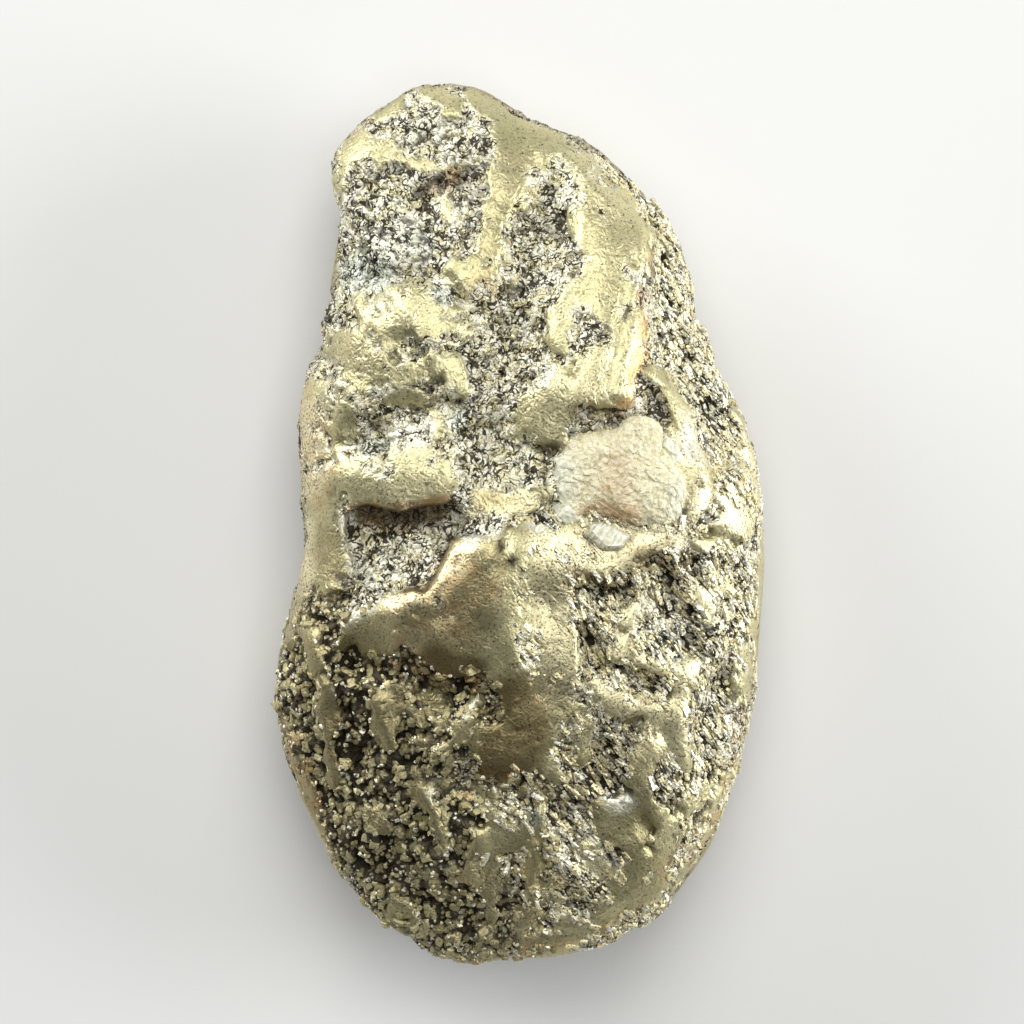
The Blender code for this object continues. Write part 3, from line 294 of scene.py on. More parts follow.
# Deep, dark holes: points, radius
HOLES = [
    ([(-6.0, 24.2), (-6.0, 23.8)], 0.18), ([(-5.7, 23.6), (-5.1, 23.5)], 0.2),
    ([(-3.4, 23.4), (-3.2, 23.1)], 0.25), ([(-4.6, 22.8), (-3.4, 22.7)], 0.25),
    ([(-7.9, 22.5), (-7.4, 22.4)], 0.16), ([(-7.8, 20.0), (-7.0, 20.0)], 0.2),
    ([(-8.5, 19.7), (-8.2, 19.6)], 0.25), ([(-5.8, 19.0), (-4.9, 19.3), (-4.2, 19.5)], 0.32),
    ([(-3.6, 19.6), (-2.6, 19.9)], 0.25), ([(-2.5, 20.3), (-1.7, 21.6)], 0.15),
    ([(-10.2, 19.0), (-9.8, 18.9)], 0.12), ([(-9.8, 17.9), (-9.2, 17.9)], 0.1),
    ([(-9.4, 15.6), (-8.4, 15.3)], 0.25), ([(-8.4, 17.2), (-8.2, 16.8)], 0.2),
    ([(-4.9, 13.2), (-4.2, 13.1), (-3.2, 12.3), (-2.6, 12.1)], 0.13),
    ([(-2.0, 12.3), (-1.2, 12.0), (-0.7, 11.6)], 0.16), ([(2.0, 17.0), (2.2, 17.4)], 0.3),
    ([(0.7, 16.7), (1.4, 16.6), (2.5, 16.1)], 0.25), ([(0.2, 17.4), (0.6, 17.2)], 0.15),
    ([(2.6, 15.0), (3.4, 15.0)], 0.12), ([(-0.6, 13.6), (0.0, 13.6)], 0.35),
    ([(0.2, 12.5), (0.6, 12.6)], 0.25), ([(0.0, 9.9), (-0.6, 9.8)], 0.2), ([(0.2, 8.2), (-0.2, 8.0)], 0.25),
    ([(-0.6, 11.0), (0.0, 10.9)], 0.18), ([(4.2, 10.6), (4.6, 10.9)], 0.25),
    ([(2.7, 8.9), (3.0, 8.6)], 0.14), ([(6.2, 14.9), (6.4, 14.7)], 0.14), ([(7.3, 15.9), (7.5, 15.6)], 0.2),
    ([(7.2, 14.2), (7.4, 13.4)], 0.25), ([(6.9, 8.2), (7.5, 6.9), (7.9, 6.1)], 0.08),
    ([(4.2, 6.1), (5.2, 6.0)], 0.3), ([(0.6, 4.5), (1.6, 4.2)], 0.3), ([(10.8, 3.8), (10.9, 2.6)], 0.14),
    ([(10.5, -0.8), (11.0, -0.8)], 0.3), ([(12.2, -1.1), (12.6, -1.5)], 0.25),
    ([(13.0, -1.8), (13.3, -2.1)], 0.22), ([(3.5, -3.4), (4.5, -3.7), (5.6, -3.9)], 0.4),
    ([(7.3, -2.1), (7.8, -3.3)], 0.4), ([(9.0, -2.1), (9.9, -2.4)], 0.28),
    ([(8.4, -4.9), (9.6, -4.9)], 0.4), ([(3.4, -5.4), (3.9, -5.9), (4.6, -6.4)], 0.35),
    ([(5.0, -5.4), (5.7, -5.9)], 0.15), ([(9.0, -6.5), (9.7, -6.8)], 0.4),
    ([(4.4, -8.0), (5.4, -8.2)], 0.3), ([(6.4, -8.2), (8.0, -8.6)], 0.2), ([(7.5, -9.3), (8.1, -9.5)], 0.3),
    ([(10.4, -8.9), (11.0, -9.0)], 0.22), ([(11.8, -9.0), (12.2, -9.8)], 0.28),
    ([(9.7, -9.8), (9.8, -9.9)], 0.15), ([(3.1, -9.6), (3.4, -9.7)], 0.2),
    ([(5.4, -11.3), (6.6, -11.1)], 0.2), ([(4.8, -12.2), (5.5, -12.8)], 0.35),
    ([(3.7, -14.2), (4.8, -14.4), (5.8, -14.8)], 0.4), ([(1.3, -12.5), (2.0, -12.7)], 0.22),
    ([(0.8, -14.3), (1.9, -14.9)], 0.16), ([(8.8, -14.2), (8.9, -15.9)], 0.3),
    ([(7.3, -16.9), (7.3, -16.9)], 0.2), ([(7.2, -17.7), (7.5, -17.8)], 0.2),
    ([(10.1, -16.4), (10.4, -17.0)], 0.25), ([(2.8, -15.2), (3.2, -15.8)], 0.35),
    ([(5.0, -18.2), (5.2, -18.4)], 0.2), ([(4.6, -20.9), (5.1, -21.0)], 0.2),
    ([(0.1, -7.6), (0.9, -7.7)], 0.18), ([(-9.9, 1.8), (-9.8, 1.8)], 0.16),
    ([(-10.2, 5.0), (-9.2, 5.1), (-8.9, 5.6)], 0.13), ([(-7.2, 9.6), (-6.8, 9.4)], 0.3),
    ([(-6.2, 9.6), (-5.4, 9.6)], 0.14), ([(-6.4, 10.8), (-6.0, 10.7)], 0.18),
    ([(-4.2, 10.4), (-3.4, 10.3), (-2.9, 10.0)], 0.12), ([(-5.5, 7.5), (-4.5, 7.8)], 0.28),
    ([(-7.3, 6.5), (-6.8, 6.3)], 0.14), ([(-6.2, 6.5), (-5.4, 6.2)], 0.2),
    ([(-3.8, 6.8), (-3.4, 6.6)], 0.22), ([(-8.0, 4.8), (-7.5, 4.6)], 0.25),
    ([(-4.8, 4.9), (-4.5, 5.0)], 0.15), ([(-8.7, 6.4), (-8.5, 6.9)], 0.15),
    ([(-10.6, -3.9), (-9.9, -3.6)], 0.35), ([(-11.6, -4.9), (-11.0, -5.0)], 0.2),
    ([(-9.2, -7.1), (-9.0, -8.0), (-9.0, -8.8)], 0.42), ([(-10.8, -8.2), (-9.9, -8.1)], 0.25),
    ([(-7.6, -8.3), (-6.8, -8.6)], 0.28), ([(-5.7, -8.6), (-5.4, -8.7)], 0.4),
    ([(-3.2, -8.6), (-3.2, -9.3), (-3.9, -9.8)], 0.35), ([(-9.7, -10.4), (-9.4, -11.2)], 0.38),
    ([(-6.7, -11.9), (-5.6, -11.5)], 0.3), ([(-8.6, -13.0), (-9.2, -13.6)], 0.35),
    ([(-12.9, -7.2), (-12.6, -7.8)], 0.3), ([(-12.6, -11.8), (-12.2, -12.0)], 0.25),
    ([(-3.8, -15.4), (-3.7, -15.6)], 0.25), ([(-10.5, -15.6), (-10.2, -15.7)], 0.25),
    ([(-2.8, -16.3), (-2.4, -16.6)], 0.3), ([(-6.0, -16.2), (-5.8, -16.2)], 0.2),
    ([(-7.0, -17.8), (-7.0, -16.6)], 0.2), ([(0.0, -20.4), (0.2, -20.9)], 0.25),
    ([(-0.6, -23.8), (-0.8, -23.0)], 0.2), ([(-2.4, -24.0), (-2.0, -24.2)], 0.25),
]
HOLE_SHAPE = (0.05, 0.95)  # depth of a hole: at least, and for each mm of its radius
HOLE_EDGE = 0.18  # width of a hole's wall
# Dark spots without depth: points, radius, strength
SPOTS = [
    ([(-1.15, -1.25), (-1.0, -1.35)], 0.2, 1.0), ([(-0.6, -2.1), (-0.35, -2.2)], 0.2, 1.0),
    ([(-0.1, -2.8), (0.0, -2.9)], 0.12, 0.8),
]

# Where the raw metal is drawn out in lines: points, radius, strength
GRAIN = [
    ([(4.0, -4.0), (10.0, -6.0), (11.0, -12.0), (7.0, -14.0)], 3.5, 1.0),
    ([(2.0, -16.0), (5.0, -21.0)], 2.8, 0.8),
    ([(6.6, 20.6), (8.8, 17.0), (9.8, 13.0), (11.2, 8.0), (12.2, 3.0)], 1.5, 1.0),
]
GRAIN_ANGLE = math.radians(-50.0)  # from the x axis

# Where the raw metal is coarse: points, radius, strength
COARSE = [
    ([(-12.4, -7.0), (-8.0, -9.2), (-4.4, -10.4)], 2.4, 1.0),
    ([(-10.0, -12.0), (-7.0, -16.0), (-5.0, -21.0)], 3.6, 1.0), ([(-0.6, -16.6), (-1.0, -23.0)], 2.0, 0.8),
]

# Painted highlights, paler and brighter metal where the face catches the light: points, radius, strength
PAINTED_HIGHLIGHTS = [
    ([(1.6, -1.6), (4.0, -1.9), (6.4, -1.5), (8.6, -0.2), (9.5, 1.4)], 0.9, 0.8),
    ([(9.7, 2.0), (9.6, 3.6), (8.9, 5.6)], 0.5, 0.4),
    ([(-7.0, -4.2), (-5.6, -4.1), (-4.8, -3.2), (-4.0, -1.9), (-3.0, -1.2)], 0.45, 0.75),
    ([(-12.9, -0.6), (-13.0, -3.0), (-13.4, -5.4)], 0.9, 1.0), ([(-12.3, 6.0), (-12.5, 2.6)], 0.9, 0.9),
    ([(7.6, -5.6), (8.4, -9.4)], 3.0, 0.55), ([(1.6, -3.4), (2.2, -6.4), (2.6, -9.4)], 0.9, 0.5),
    ([(12.2, 3.6), (12.6, 0.6)], 1.2, 0.8), ([(3.4, 20.6), (5.6, 18.4)], 0.9, 0.25),
    ([(0.0, 1.2), (1.2, 1.4)], 0.7, 0.4), ([(4.4, 8.4), (2.2, 6.6)], 1.3, 0.25),
    ([(-9.4, 2.2), (-5.0, 2.2)], 0.9, 0.25),
]

# Tints of the metal: points, radius, strength
COPPER = [
    ([(6.9, 13.0), (6.9, 10.4), (6.4, 8.6), (5.6, 6.0)], 0.35, 0.9), ([(7.3, 14.8), (7.3, 13.2)], 0.4, 0.6),
    ([(-12.5, 7.7), (-12.4, 4.4), (-12.3, 2.4)], 0.5, 0.5),
    ([(-11.6, 5.4), (-11.4, 3.0), (-11.5, 1.8)], 0.8, 0.45),
    ([(-9.5, 0.9), (-8.0, 1.2), (-4.2, 1.7)], 0.28, 0.9),
    ([(-8.8, 0.4), (-6.0, 0.6), (-4.6, 1.0)], 0.5, 0.6),
    ([(-6.0, -7.6), (-5.0, -8.4), (-2.5, -8.6)], 0.5, 0.8), ([(-7.8, -7.9), (-6.8, -7.8)], 0.25, 0.7),
    ([(-2.6, -13.8), (-0.2, -14.2)], 0.3, 0.9), ([(-2.6, -15.0), (-3.0, -15.4)], 0.3, 0.6),
    ([(12.7, -10.4), (12.2, -13.0), (11.0, -16.4), (9.8, -19.0)], 0.4, 0.6),
    ([(7.6, -21.6), (4.6, -23.4), (2.0, -24.2)], 0.5, 0.45),
    ([(-13.7, -11.0), (-13.3, -13.0), (-12.0, -15.8), (-10.4, -18.8)], 0.35, 0.75),
    ([(-10.2, -9.8), (-10.2, -11.2)], 0.3, 0.6), ([(-9.6, -12.4), (-9.8, -13.2)], 0.5, 0.4),
    ([(3.4, -3.1), (5.6, -3.5)], 0.4, 0.5), ([(7.0, -1.7), (9.6, -2.0)], 0.35, 0.45),
    ([(-5.6, 19.0), (-3.6, 19.6)], 0.35, 0.6), ([(9.0, 4.2), (9.5, 2.0)], 0.3, 0.4),
    ([(-2.0, 1.6), (-0.6, 0.8)], 0.7, 0.3), ([(-1.0, 13.9), (-2.6, 13.4)], 0.6, 0.25),
    ([(1.0, -19.6), (-0.6, -24.2)], 0.7, 0.2), ([(-3.1, -19.2), (-2.6, -20.2)], 0.4, 0.35),
    ([(3.2, -15.0), (3.6, -15.6)], 0.6, 0.5), ([(8.6, -5.2), (8.8, -5.4)], 0.5, 0.4),
    ([(-11.8, 1.5), (-11.2, 1.6)], 0.3, 0.8), ([(0.6, -23.6), (1.8, -23.8)], 0.6, 0.4),
    ([(8.2, -19.4), (9.6, -18.0)], 0.6, 0.4), ([(-5.8, -5.6), (-4.2, -4.4), (-2.8, -2.8)], 1.5, 0.55),
    ([(-6.8, -3.95), (-5.5, -3.7), (-4.6, -2.7), (-3.9, -1.5)], 0.3, 0.6),
]

BLUE = [
    ([(-9.4, 14.4), (-8.4, 14.4)], 0.9, 0.55), ([(-6.3, 15.9), (-5.6, 15.6)], 0.6, 0.45),
    ([(7.6, 13.2), (8.2, 12.4)], 0.7, 0.3), ([(8.4, -5.6), (8.3, -7.0)], 0.6, 0.45),
    ([(0.3, -16.4), (0.5, -16.8)], 0.4, 0.55), ([(2.4, -17.0), (2.8, -17.2)], 0.5, 0.35),
    ([(-4.9, 13.0), (-4.3, 12.8)], 0.3, 0.5), ([(-8.8, 4.6), (-8.0, 4.7)], 0.4, 0.4),
    ([(-10.2, -8.9), (-9.8, -9.0)], 0.3, 0.4), ([(-3.6, 6.2), (-3.5, 5.8)], 0.35, 0.35),
    ([(6.8, -4.8), (7.0, -5.4)], 0.5, 0.3), ([(-4.6, -18.4), (-4.2, -18.6)], 0.4, 0.3),
]

# Brown patina of the hollows, and painted shade: brown on the shadowed edges below the ridges and the lip, on
# the nose and stem, and over the darker lower left and foot: points, radius, strength
BROWN = [
    ([(-5.4, -5.4), (-4.0, -4.4), (-2.8, -3.4)], 1.2, 0.5), ([(-3.2, -5.2), (-3.6, -6.2)], 1.3, 0.6),
    ([(-4.8, -7.4), (-3.2, -8.0)], 0.9, 0.95),
    ([(-6.9, -3.75), (-5.6, -3.5), (-4.8, -2.45), (-4.1, -1.2), (-3.8, -0.4), (-2.1, -0.8), (-0.2, -0.45),
      (1.0, -0.65)], 0.1, 1.0),
    ([(-9.4, 10.6), (-8.8, 8.8)], 1.4, 0.2), ([(-10.8, -1.0), (-10.4, -2.8)], 0.9, 0.55),
    ([(-12.0, -4.4), (-11.4, -4.6)], 0.5, 0.6), ([(-0.2, -10.2), (-0.8, -13.2)], 1.5, 0.9),
    ([(-2.0, -13.9), (0.8, -14.4)], 0.5, 1.0), ([(1.8, -9.4), (2.4, -11.4)], 0.9, 0.4),
    ([(-9.6, -9.8), (-10.0, -13.4)], 1.0, 0.5), ([(-12.0, -8.0), (-8.0, -12.0), (-9.0, -16.0)], 3.6, 0.62),
    ([(-6.0, -17.0), (-5.0, -21.0)], 4.0, 0.3), ([(0.6, -15.6), (0.0, -23.0)], 1.2, 0.3),
    ([(3.6, -14.6), (3.0, -15.6)], 1.2, 0.5), ([(6.0, -16.6), (6.8, -19.4)], 1.2, 0.35),
    ([(3.4, -3.1), (5.6, -3.6)], 0.5, 0.9), ([(6.8, -1.9), (8.0, -2.9), (9.6, -2.3)], 0.5, 0.8),
    ([(-8.6, 0.7), (-4.6, 1.1)], 0.45, 0.95), ([(-5.4, 19.1), (-3.2, 19.7)], 0.5, 0.5),
    ([(3.6, 6.2), (5.4, 5.9)], 0.5, 0.6), ([(1.0, 4.8), (1.8, 4.5)], 0.4, 0.5),
    ([(1.0, -23.4), (-1.0, -24.2)], 1.0, 0.3), ([(7.2, 7.6), (8.2, 5.6)], 0.35, 0.3),
    ([(-0.9, 20.4), (-1.2, 18.5), (-1.9, 15.7)], 1.0, 0.22), ([(5.8, -11.8), (7.0, -14.0)], 1.1, 0.3),
]

# Painted glints, silver colour where crystal faces catch the light: points, radius, strength
SPARKLE = [
    ([(-9.4, -0.9), (-9.1, -2.4), (-8.2, -3.6)], 0.22, 1.0), ([(-9.6, 0.6), (-9.5, 0.2)], 0.25, 1.0),
    ([(-8.6, -4.4), (-9.8, -5.0)], 0.4, 0.8), ([(8.2, 4.4), (8.6, 4.0)], 0.35, 1.0),
    ([(-2.8, -0.3), (-1.4, -0.4)], 0.4, 1.0), ([(0.6, -0.2), (1.4, 0.0)], 0.4, 1.0),
    ([(10.0, 5.0), (11.0, 7.0)], 0.9, 0.7), ([(11.2, -10.2), (11.6, -10.6)], 0.6, 0.9),
    ([(-2.6, -9.6), (-3.2, -10.4)], 0.25, 0.5), ([(-4.9, -15.0), (-4.5, -15.1)], 0.3, 0.3),
    ([(5.2, -14.8), (5.8, -15.2)], 0.4, 0.8), ([(-6.6, 16.2), (-7.6, 15.8)], 0.9, 0.7),
    ([(-6.6, 5.2), (-5.6, 5.4)], 0.6, 0.7), ([(2.2, 18.6), (2.6, 18.8)], 0.4, 0.8),
]

# ---------------------------------------------------------------- relief finer than the solid's

BODY_STEPS = (300, 480, 190)  # divisions of the dense mesh along x, y and z
FACE_SHARE = 0.35  # how much denser it is on the face than on the back
BODY_TRIANGLES = 199000
EDGE_WAVES = [(1.5, 0.26, 15), (0.6, 0.34, 6)]  # raggedness of the lands' outlines: wavelength, rawness, seed
RAGGED = (0.9, 0.34)  # to-and-fro of the outlines: wavelength and distance
ISLANDS = (2.2, 0.22)  # lands within the raw metal and raw places within the lands: wavelength, rawness
COARSE_ISLANDS = (1.5, 0.8)  # the same where the raw metal is coarse
RAW_SINK = 0.10  # the raw metal lies this far below the lands
RAW_WAVES = (1.1, 0.14)  # unevenness of the raw metal: wavelength and height
KNOBS = (0.55, 1.15, 3.0)  # wavelength of the fine and of the coarse ones, and stretch along the grain
KNOB_HEIGHT = (0.07, 0.18)  # of the fine ones, and what the coarse ones have beyond that
KNOB_BEND = (1.4, 0.3)  # bending of their rows: wavelength and distance
PITS = (0.22, 0.24, 0.20, 0.13)  # level where pits begin, how much more where coarse, their edge and depth
FACETS = [(0.70, 0.05, 31), (0.38, 0.03, 47)]  # of the crystalline metal: size, height, seed
FACET_LIFT = 0.6  # how far whole facets stand above or below each other, for each mm of their height
DIMPLES = (0.85, 0.14, 0.07)  # spacing, radius and depth of the pits in the lands
DIMPLED = 0.65  # share of the spacings that have a pit
LAND_WAVES = [(2.6, 0.06), (0.9, 0.025), (0.45, 0.012)]  # unevenness of the lands: the same
HOLE_WAVES = [(0.7, 0.34, 21), (0.3, 0.16, 22)]  # raggedness of the holes' walls: wavelength, distance, seed
LUMP_POCKET = (0.5, 1.6)  # wall and depth of the hollow in the skin below each piece of calcite
FLAKE_POCKET = (0.3, 0.5)
RIM_SHADOW = (0.12, 0.32)  # the dark line round the calcite: distance outside its outline, and half width


def smooth(t):
    t = np.clip(t, 0.0, 1.0)
    return t * t * (3.0 - 2.0 * t)


def closed_curve(points, steps=10):
    """A smooth closed curve through the points, as steps places along each span."""
    p = np.array(points)
    before, after, beyond = np.roll(p, 1, 0), np.roll(p, -1, 0), np.roll(p, -2, 0)
    spans = []
    for t in np.arange(steps) / steps:
        spans.append(0.5 * (2 * p + (after - before) * t
                            + (2 * before - 5 * p + 4 * after - beyond) * t**2
                            + (3 * p - before - 3 * after + beyond) * t**3))
    return np.stack(spans, axis=1).reshape(-1, 2)


def nugget_curve():
    """The nugget's outline, centred and brought to its full width and length."""
    curve = closed_curve(OUTLINE)
    low, high = curve.min(0), curve.max(0)
    return (curve - (low + high) / 2) * (WIDTH, LENGTH) / (high - low)


def reach(curve, angles):
    """How far a closed curve lies from the origin in each direction."""
    around = np.arctan2(curve[:, 1], curve[:, 0])
    order = np.argsort(around)
    return np.interp(angles, around[order], np.hypot(*curve.T)[order], period=2 * np.pi)


def distance_to_line(plan, points):
    """Distance in plan from each place to a line of one or more spans."""
    nearest = np.full(len(plan), np.inf)
    for start, end in zip(np.array(points[:-1]), np.array(points[1:])):
        along = end - start
        t = np.clip((plan - start) @ along / max(along @ along, 1e-9), 0.0, 1.0)
        nearest = np.minimum(nearest, np.hypot(*(plan - start - t[:, None] * along).T))
    return nearest


def near_line(plan, points, radius):
    """Which places may lie within the radius of the line, and their distances from it."""
    low = np.min(points, axis=0) - radius
    high = np.max(points, axis=0) + radius
    chosen = np.flatnonzero(((plan > low) & (plan < high)).all(1))
    return chosen, distance_to_line(plan[chosen], points)


def depth_inside(plan, outline):
    """Distance in plan from the outline, above zero inside it."""
    corners = np.array(outline)
    inside = np.zeros(len(plan), bool)
    for a, b in zip(corners, np.roll(corners, -1, 0)):
        spans = (a[1] > plan[:, 1]) != (b[1] > plan[:, 1])
        crossing = a[0] + (plan[:, 1] - a[1]) * (b[0] - a[0]) / (b[1] - a[1] + 1e-12)
        inside ^= spans & (plan[:, 0] < crossing)
    gap = distance_to_line(plan, list(outline) + [outline[0]])
    return np.where(inside, gap, -gap)


def waves(points, wavelength, seed):
    """Smooth noise between about -1 and 1 with the given wavelength, in the seed's own pattern."""
    shifted = points / wavelength + np.array([seed * 17.3, seed * 5.1, seed * 9.7])
    return np.array([noise.noise(place) for place in shifted.tolist()])


def wandered(plan):
    """Places in plan shifted a little to and fro, so that no feature keeps a drawn outline."""
    shifted = plan.copy()
    flat = np.column_stack([plan, np.zeros(len(plan))])
    for wavelength, distance in WANDER:
        shifted[:, 0] += distance * waves(flat, wavelength, 7)
        shifted[:, 1] += distance * waves(flat, wavelength, 8)
    return shifted


def face_relief(plan):
    """Height of the named features of the face."""
    height = np.zeros(len(plan))
    for points, half_width, rise in STROKES:
        chosen, distance = near_line(plan, points, half_width)
        height[chosen] += rise * np.clip(1.0 - (distance / half_width) ** 2, 0.0, 1.0) ** 2
    recess = smooth(depth_inside(plan, RECESS) / RECESS_WALL + 0.5)
    height -= recess * (RECESS_DEPTH + RECESS_FLOOR_RISE * (plan[:, 1] - RECESS[0][1]))
    ledge = smooth(depth_inside(plan, SIDE_LEDGE) / SIDE_LEDGE_WALL + 0.5)
    return height - ledge * SIDE_LEDGE_DEPTH


def painted(plan, strokes, ground, spread=1.5):
    """Values painted one over another along the strokes."""
    value = ground.copy()
    for points, radius, target in strokes:
        chosen, distance = near_line(plan, points, radius * spread)
        cover = smooth(spread - distance / radius)
        value[chosen] += cover * (target - value[chosen])
    return value


def strongest(plan, strokes, spread=1.8):
    """The greatest strength of any stroke at each place."""
    value = np.zeros(len(plan))
    for points, radius, strength in strokes:
        chosen, distance = near_line(plan, points, radius * spread)
        value[chosen] = np.maximum(value[chosen], strength * smooth(spread - distance / radius))
    return value


# ---------------------------------------------------------------- dense meshes

# Sides of a box: the two axes that its grid runs along, the axis that it faces, and which way
BOX_SIDES = ((0, 1, 2, 1), (1, 0, 2, -1), (1, 2, 0, 1), (2, 1, 0, -1), (2, 0, 1, 1), (0, 2, 1, -1))


def box_sphere(counts):
    """Directions over a sphere, in a grid on each side of a box, and the triangles between them."""
    steps = [np.tan(np.linspace(-1.0, 1.0, n + 1) * np.pi / 4) for n in counts]
    places, quads, used = [], [], 0
    for a, b, c, side in BOX_SIDES:
        grid = np.empty((len(steps[a]), len(steps[b]), 3))
        grid[..., a], grid[..., b] = np.meshgrid(steps[a], steps[b], indexing="ij")
        grid[..., c] = side
        index = used + np.arange(grid[..., 0].size).reshape(grid.shape[:2])
        corners = [index[:-1, :-1], index[1:, :-1], index[1:, 1:], index[:-1, 1:]]
        quads.append(np.stack(corners, -1).reshape(-1, 4))
        places.append(grid.reshape(-1, 3))
        used += index.size
    places = np.concatenate(places)
    # one whole number for each place, so that sides share the points of their edges
    keys = (np.round(places * 1e6).astype(np.int64) + 2_000_000) @ np.array([1, 4_000_001, 4_000_001**2])
    _, first, merged = np.unique(keys, return_index=True, return_inverse=True)
    places, quads = places[first], merged[np.concatenate(quads)]
    return unit(places), np.concatenate([quads[:, [0, 1, 2]], quads[:, [0, 2, 3]]])


def unit(vectors):
    return vectors / np.linalg.norm(vectors, axis=1)[:, None]


def repeated(triangles, corners, count):
    """The triangles of a form with so many corners, for count copies of it one after another."""
    return (triangles[None] + corners * np.arange(count)[:, None, None]).reshape(-1, 3)


def mesh_of(name, points, triangles):
    """A mesh from points in millimetres."""
    mesh = bpy.data.meshes.new(name)
    mesh.vertices.add(len(points))
    mesh.vertices.foreach_set("co", (points * MM).astype(np.float32).ravel())
    mesh.loops.add(3 * len(triangles))
    mesh.loops.foreach_set("vertex_index", triangles.astype(np.int32).ravel())
    mesh.polygons.add(len(triangles))
    mesh.polygons.foreach_set("loop_start", np.arange(0, 3 * len(triangles), 3, dtype=np.int32))
    mesh.update(calc_edges=True)
    return mesh


def move_points(mesh, points):
    mesh.vertices.foreach_set("co", (points * MM).astype(np.float32).ravel())
    mesh.update()


def points_of(mesh):
    points = np.empty(3 * len(mesh.vertices), np.float32)
    mesh.vertices.foreach_get("co", points)
    return points.reshape(-1, 3).astype(float) / MM


def normals_of(mesh):
    normals = np.empty(3 * len(mesh.vertices), np.float32)
    mesh.vertices.foreach_get("normal", normals)
    return normals.reshape(-1, 3).astype(float)


def store_colours(mesh, name, channels):
    """Up to four values a point, which the materials read by name."""
    values = np.zeros((len(mesh.vertices), 4), np.float32)
    for i, channel in enumerate(channels):
        values[:, i] = channel
    layer = mesh.attributes.new(name, "FLOAT_COLOR", "POINT")
    layer.data.foreach_set("color", values.ravel())


def store_places(mesh, places):
    """Places in the texture, one for each triangle's corner, in a layer named OFBake."""
    layer = mesh.uv_layers.new(name="OFBake")
    layer.data.foreach_set("uv", places.astype(np.float32).ravel())


def link(mesh, name, material, smooth_shaded=True):
    mesh.materials.clear()
    mesh.materials.append(material)
    mesh.polygons.foreach_set("use_smooth", np.full(len(mesh.polygons), smooth_shaded))
    thing = bpy.data.objects.new(name, mesh)
    bpy.context.scene.collection.objects.link(thing)
    return thing


def thinned(mesh, triangles):
    """The mesh with fewer triangles, kept where its relief needs them."""
    thing = bpy.data.objects.new("dense", mesh)
    bpy.context.scene.collection.objects.link(thing)
    modifier = thing.modifiers.new("thin", "DECIMATE")
    modifier.ratio = triangles / len(mesh.polygons)
    bpy.context.view_layer.update()
    made = bpy.data.meshes.new_from_object(thing.evaluated_get(bpy.context.evaluated_depsgraph_get()))
    bpy.data.objects.remove(thing)
    bpy.data.meshes.remove(mesh)
    return made


# ---------------------------------------------------------------- facets and knobs

CELL_PRIMES = np.array([73856093, 19349663, 83492791], np.uint32)


def cell_numbers(cells, seed):
    """Three numbers between 0 and 1 that belong to each cell of a grid."""
    mixed = (cells.astype(np.uint32) * CELL_PRIMES).sum(1, dtype=np.uint32) + np.uint32(seed * 7919)
    numbers = []
    for _ in range(3):
        mixed = (mixed ^ (mixed >> np.uint32(15))) * np.uint32(2246822519)
        mixed = (mixed ^ (mixed >> np.uint32(13))) * np.uint32(3266489917)
        numbers.append((mixed >> np.uint32(8)) / 2.0**24)
    return np.stack(numbers, axis=1)


def facets(points, size, seed):
    """Each place's height on its own tilted facet, its distance from the next facet, the facet's number
    between 0 and 1, and the distance from the facet's middle; distances are for a size of 1."""
    scaled = points / size
    home = np.floor(scaled).astype(np.int64)
    nearest = np.full(len(points), 9.0)
    second = nearest.copy()
    offset, owner = np.zeros_like(scaled), np.zeros_like(home)
    for step in np.ndindex(3, 3, 3):
        cell = home + np.array(step) - 1
        gap = scaled - cell - cell_numbers(cell, seed)
        distance = np.sqrt((gap * gap).sum(1))
        closer = distance < nearest
        second = np.where(closer, nearest, np.minimum(second, distance))
        nearest = np.where(closer, distance, nearest)
        offset[closer] = gap[closer]
        owner[closer] = cell[closer]
    tilt = 2 * cell_numbers(owner, seed + 1) - 1
    return (offset * tilt).sum(1), second - nearest, cell_numbers(owner, seed + 2)[:, 0], nearest


def knobs(points, size, seed):
    """Rounded knobs with sharp valleys between them, from -1 in the valleys to 1."""
    return np.clip(4.5 * np.abs(waves(points, size, seed)) - 1.0, -1.0, 1.0)


def knobbed(points, grain, coarse):
    """The knobs of the raw metal: fine, coarse, or drawn out along its grain."""
    fine, broad, stretch = KNOBS
    bend = KNOB_BEND[1] * waves(points, KNOB_BEND[0], 33)[:, None]
    along = np.array([math.cos(GRAIN_ANGLE), math.sin(GRAIN_ANGLE), 0.0])
    places = points + bend
    places -= (1.0 - 1.0 / stretch) * grain[:, None] * (places @ along)[:, None] * along
    value = knobs(places, fine, 34)
    chosen = np.flatnonzero(coarse > 0.01)
    broad_knobs = knobs(points[chosen] + bend[chosen], broad, 35)
    value[chosen] += coarse[chosen] * (0.35 * value[chosen] + 0.75 * broad_knobs - value[chosen])
    return value


# ---------------------------------------------------------------- the nugget's skin

# Columns of the ground, the table of places where crystals and grains may sit
PLACE, NORMAL, TINTS = slice(0, 3), slice(3, 6), slice(6, 10)
RAW_AT, GAP_AT, COARSE_AT, FACE_AT, GRAIN_AT = range(10, 15)


def dome(rise, share, profile):
    """Height of a dome over its middle plane, from its rise in the middle to none at its rim."""
    return rise * (1.0 - share ** profile[0]).clip(0.0) ** (1.0 / profile[1])


def crest_height(plan_x, plan_y):
    """Rise of the bare face above the rim's plane, before it curves down to the rim."""
    return BARE_THICKNESS - RIM_HEIGHT - FACE_FALL * (plan_y - FACE_PEAK_Y) ** 2 + FACE_LEAN * plan_x


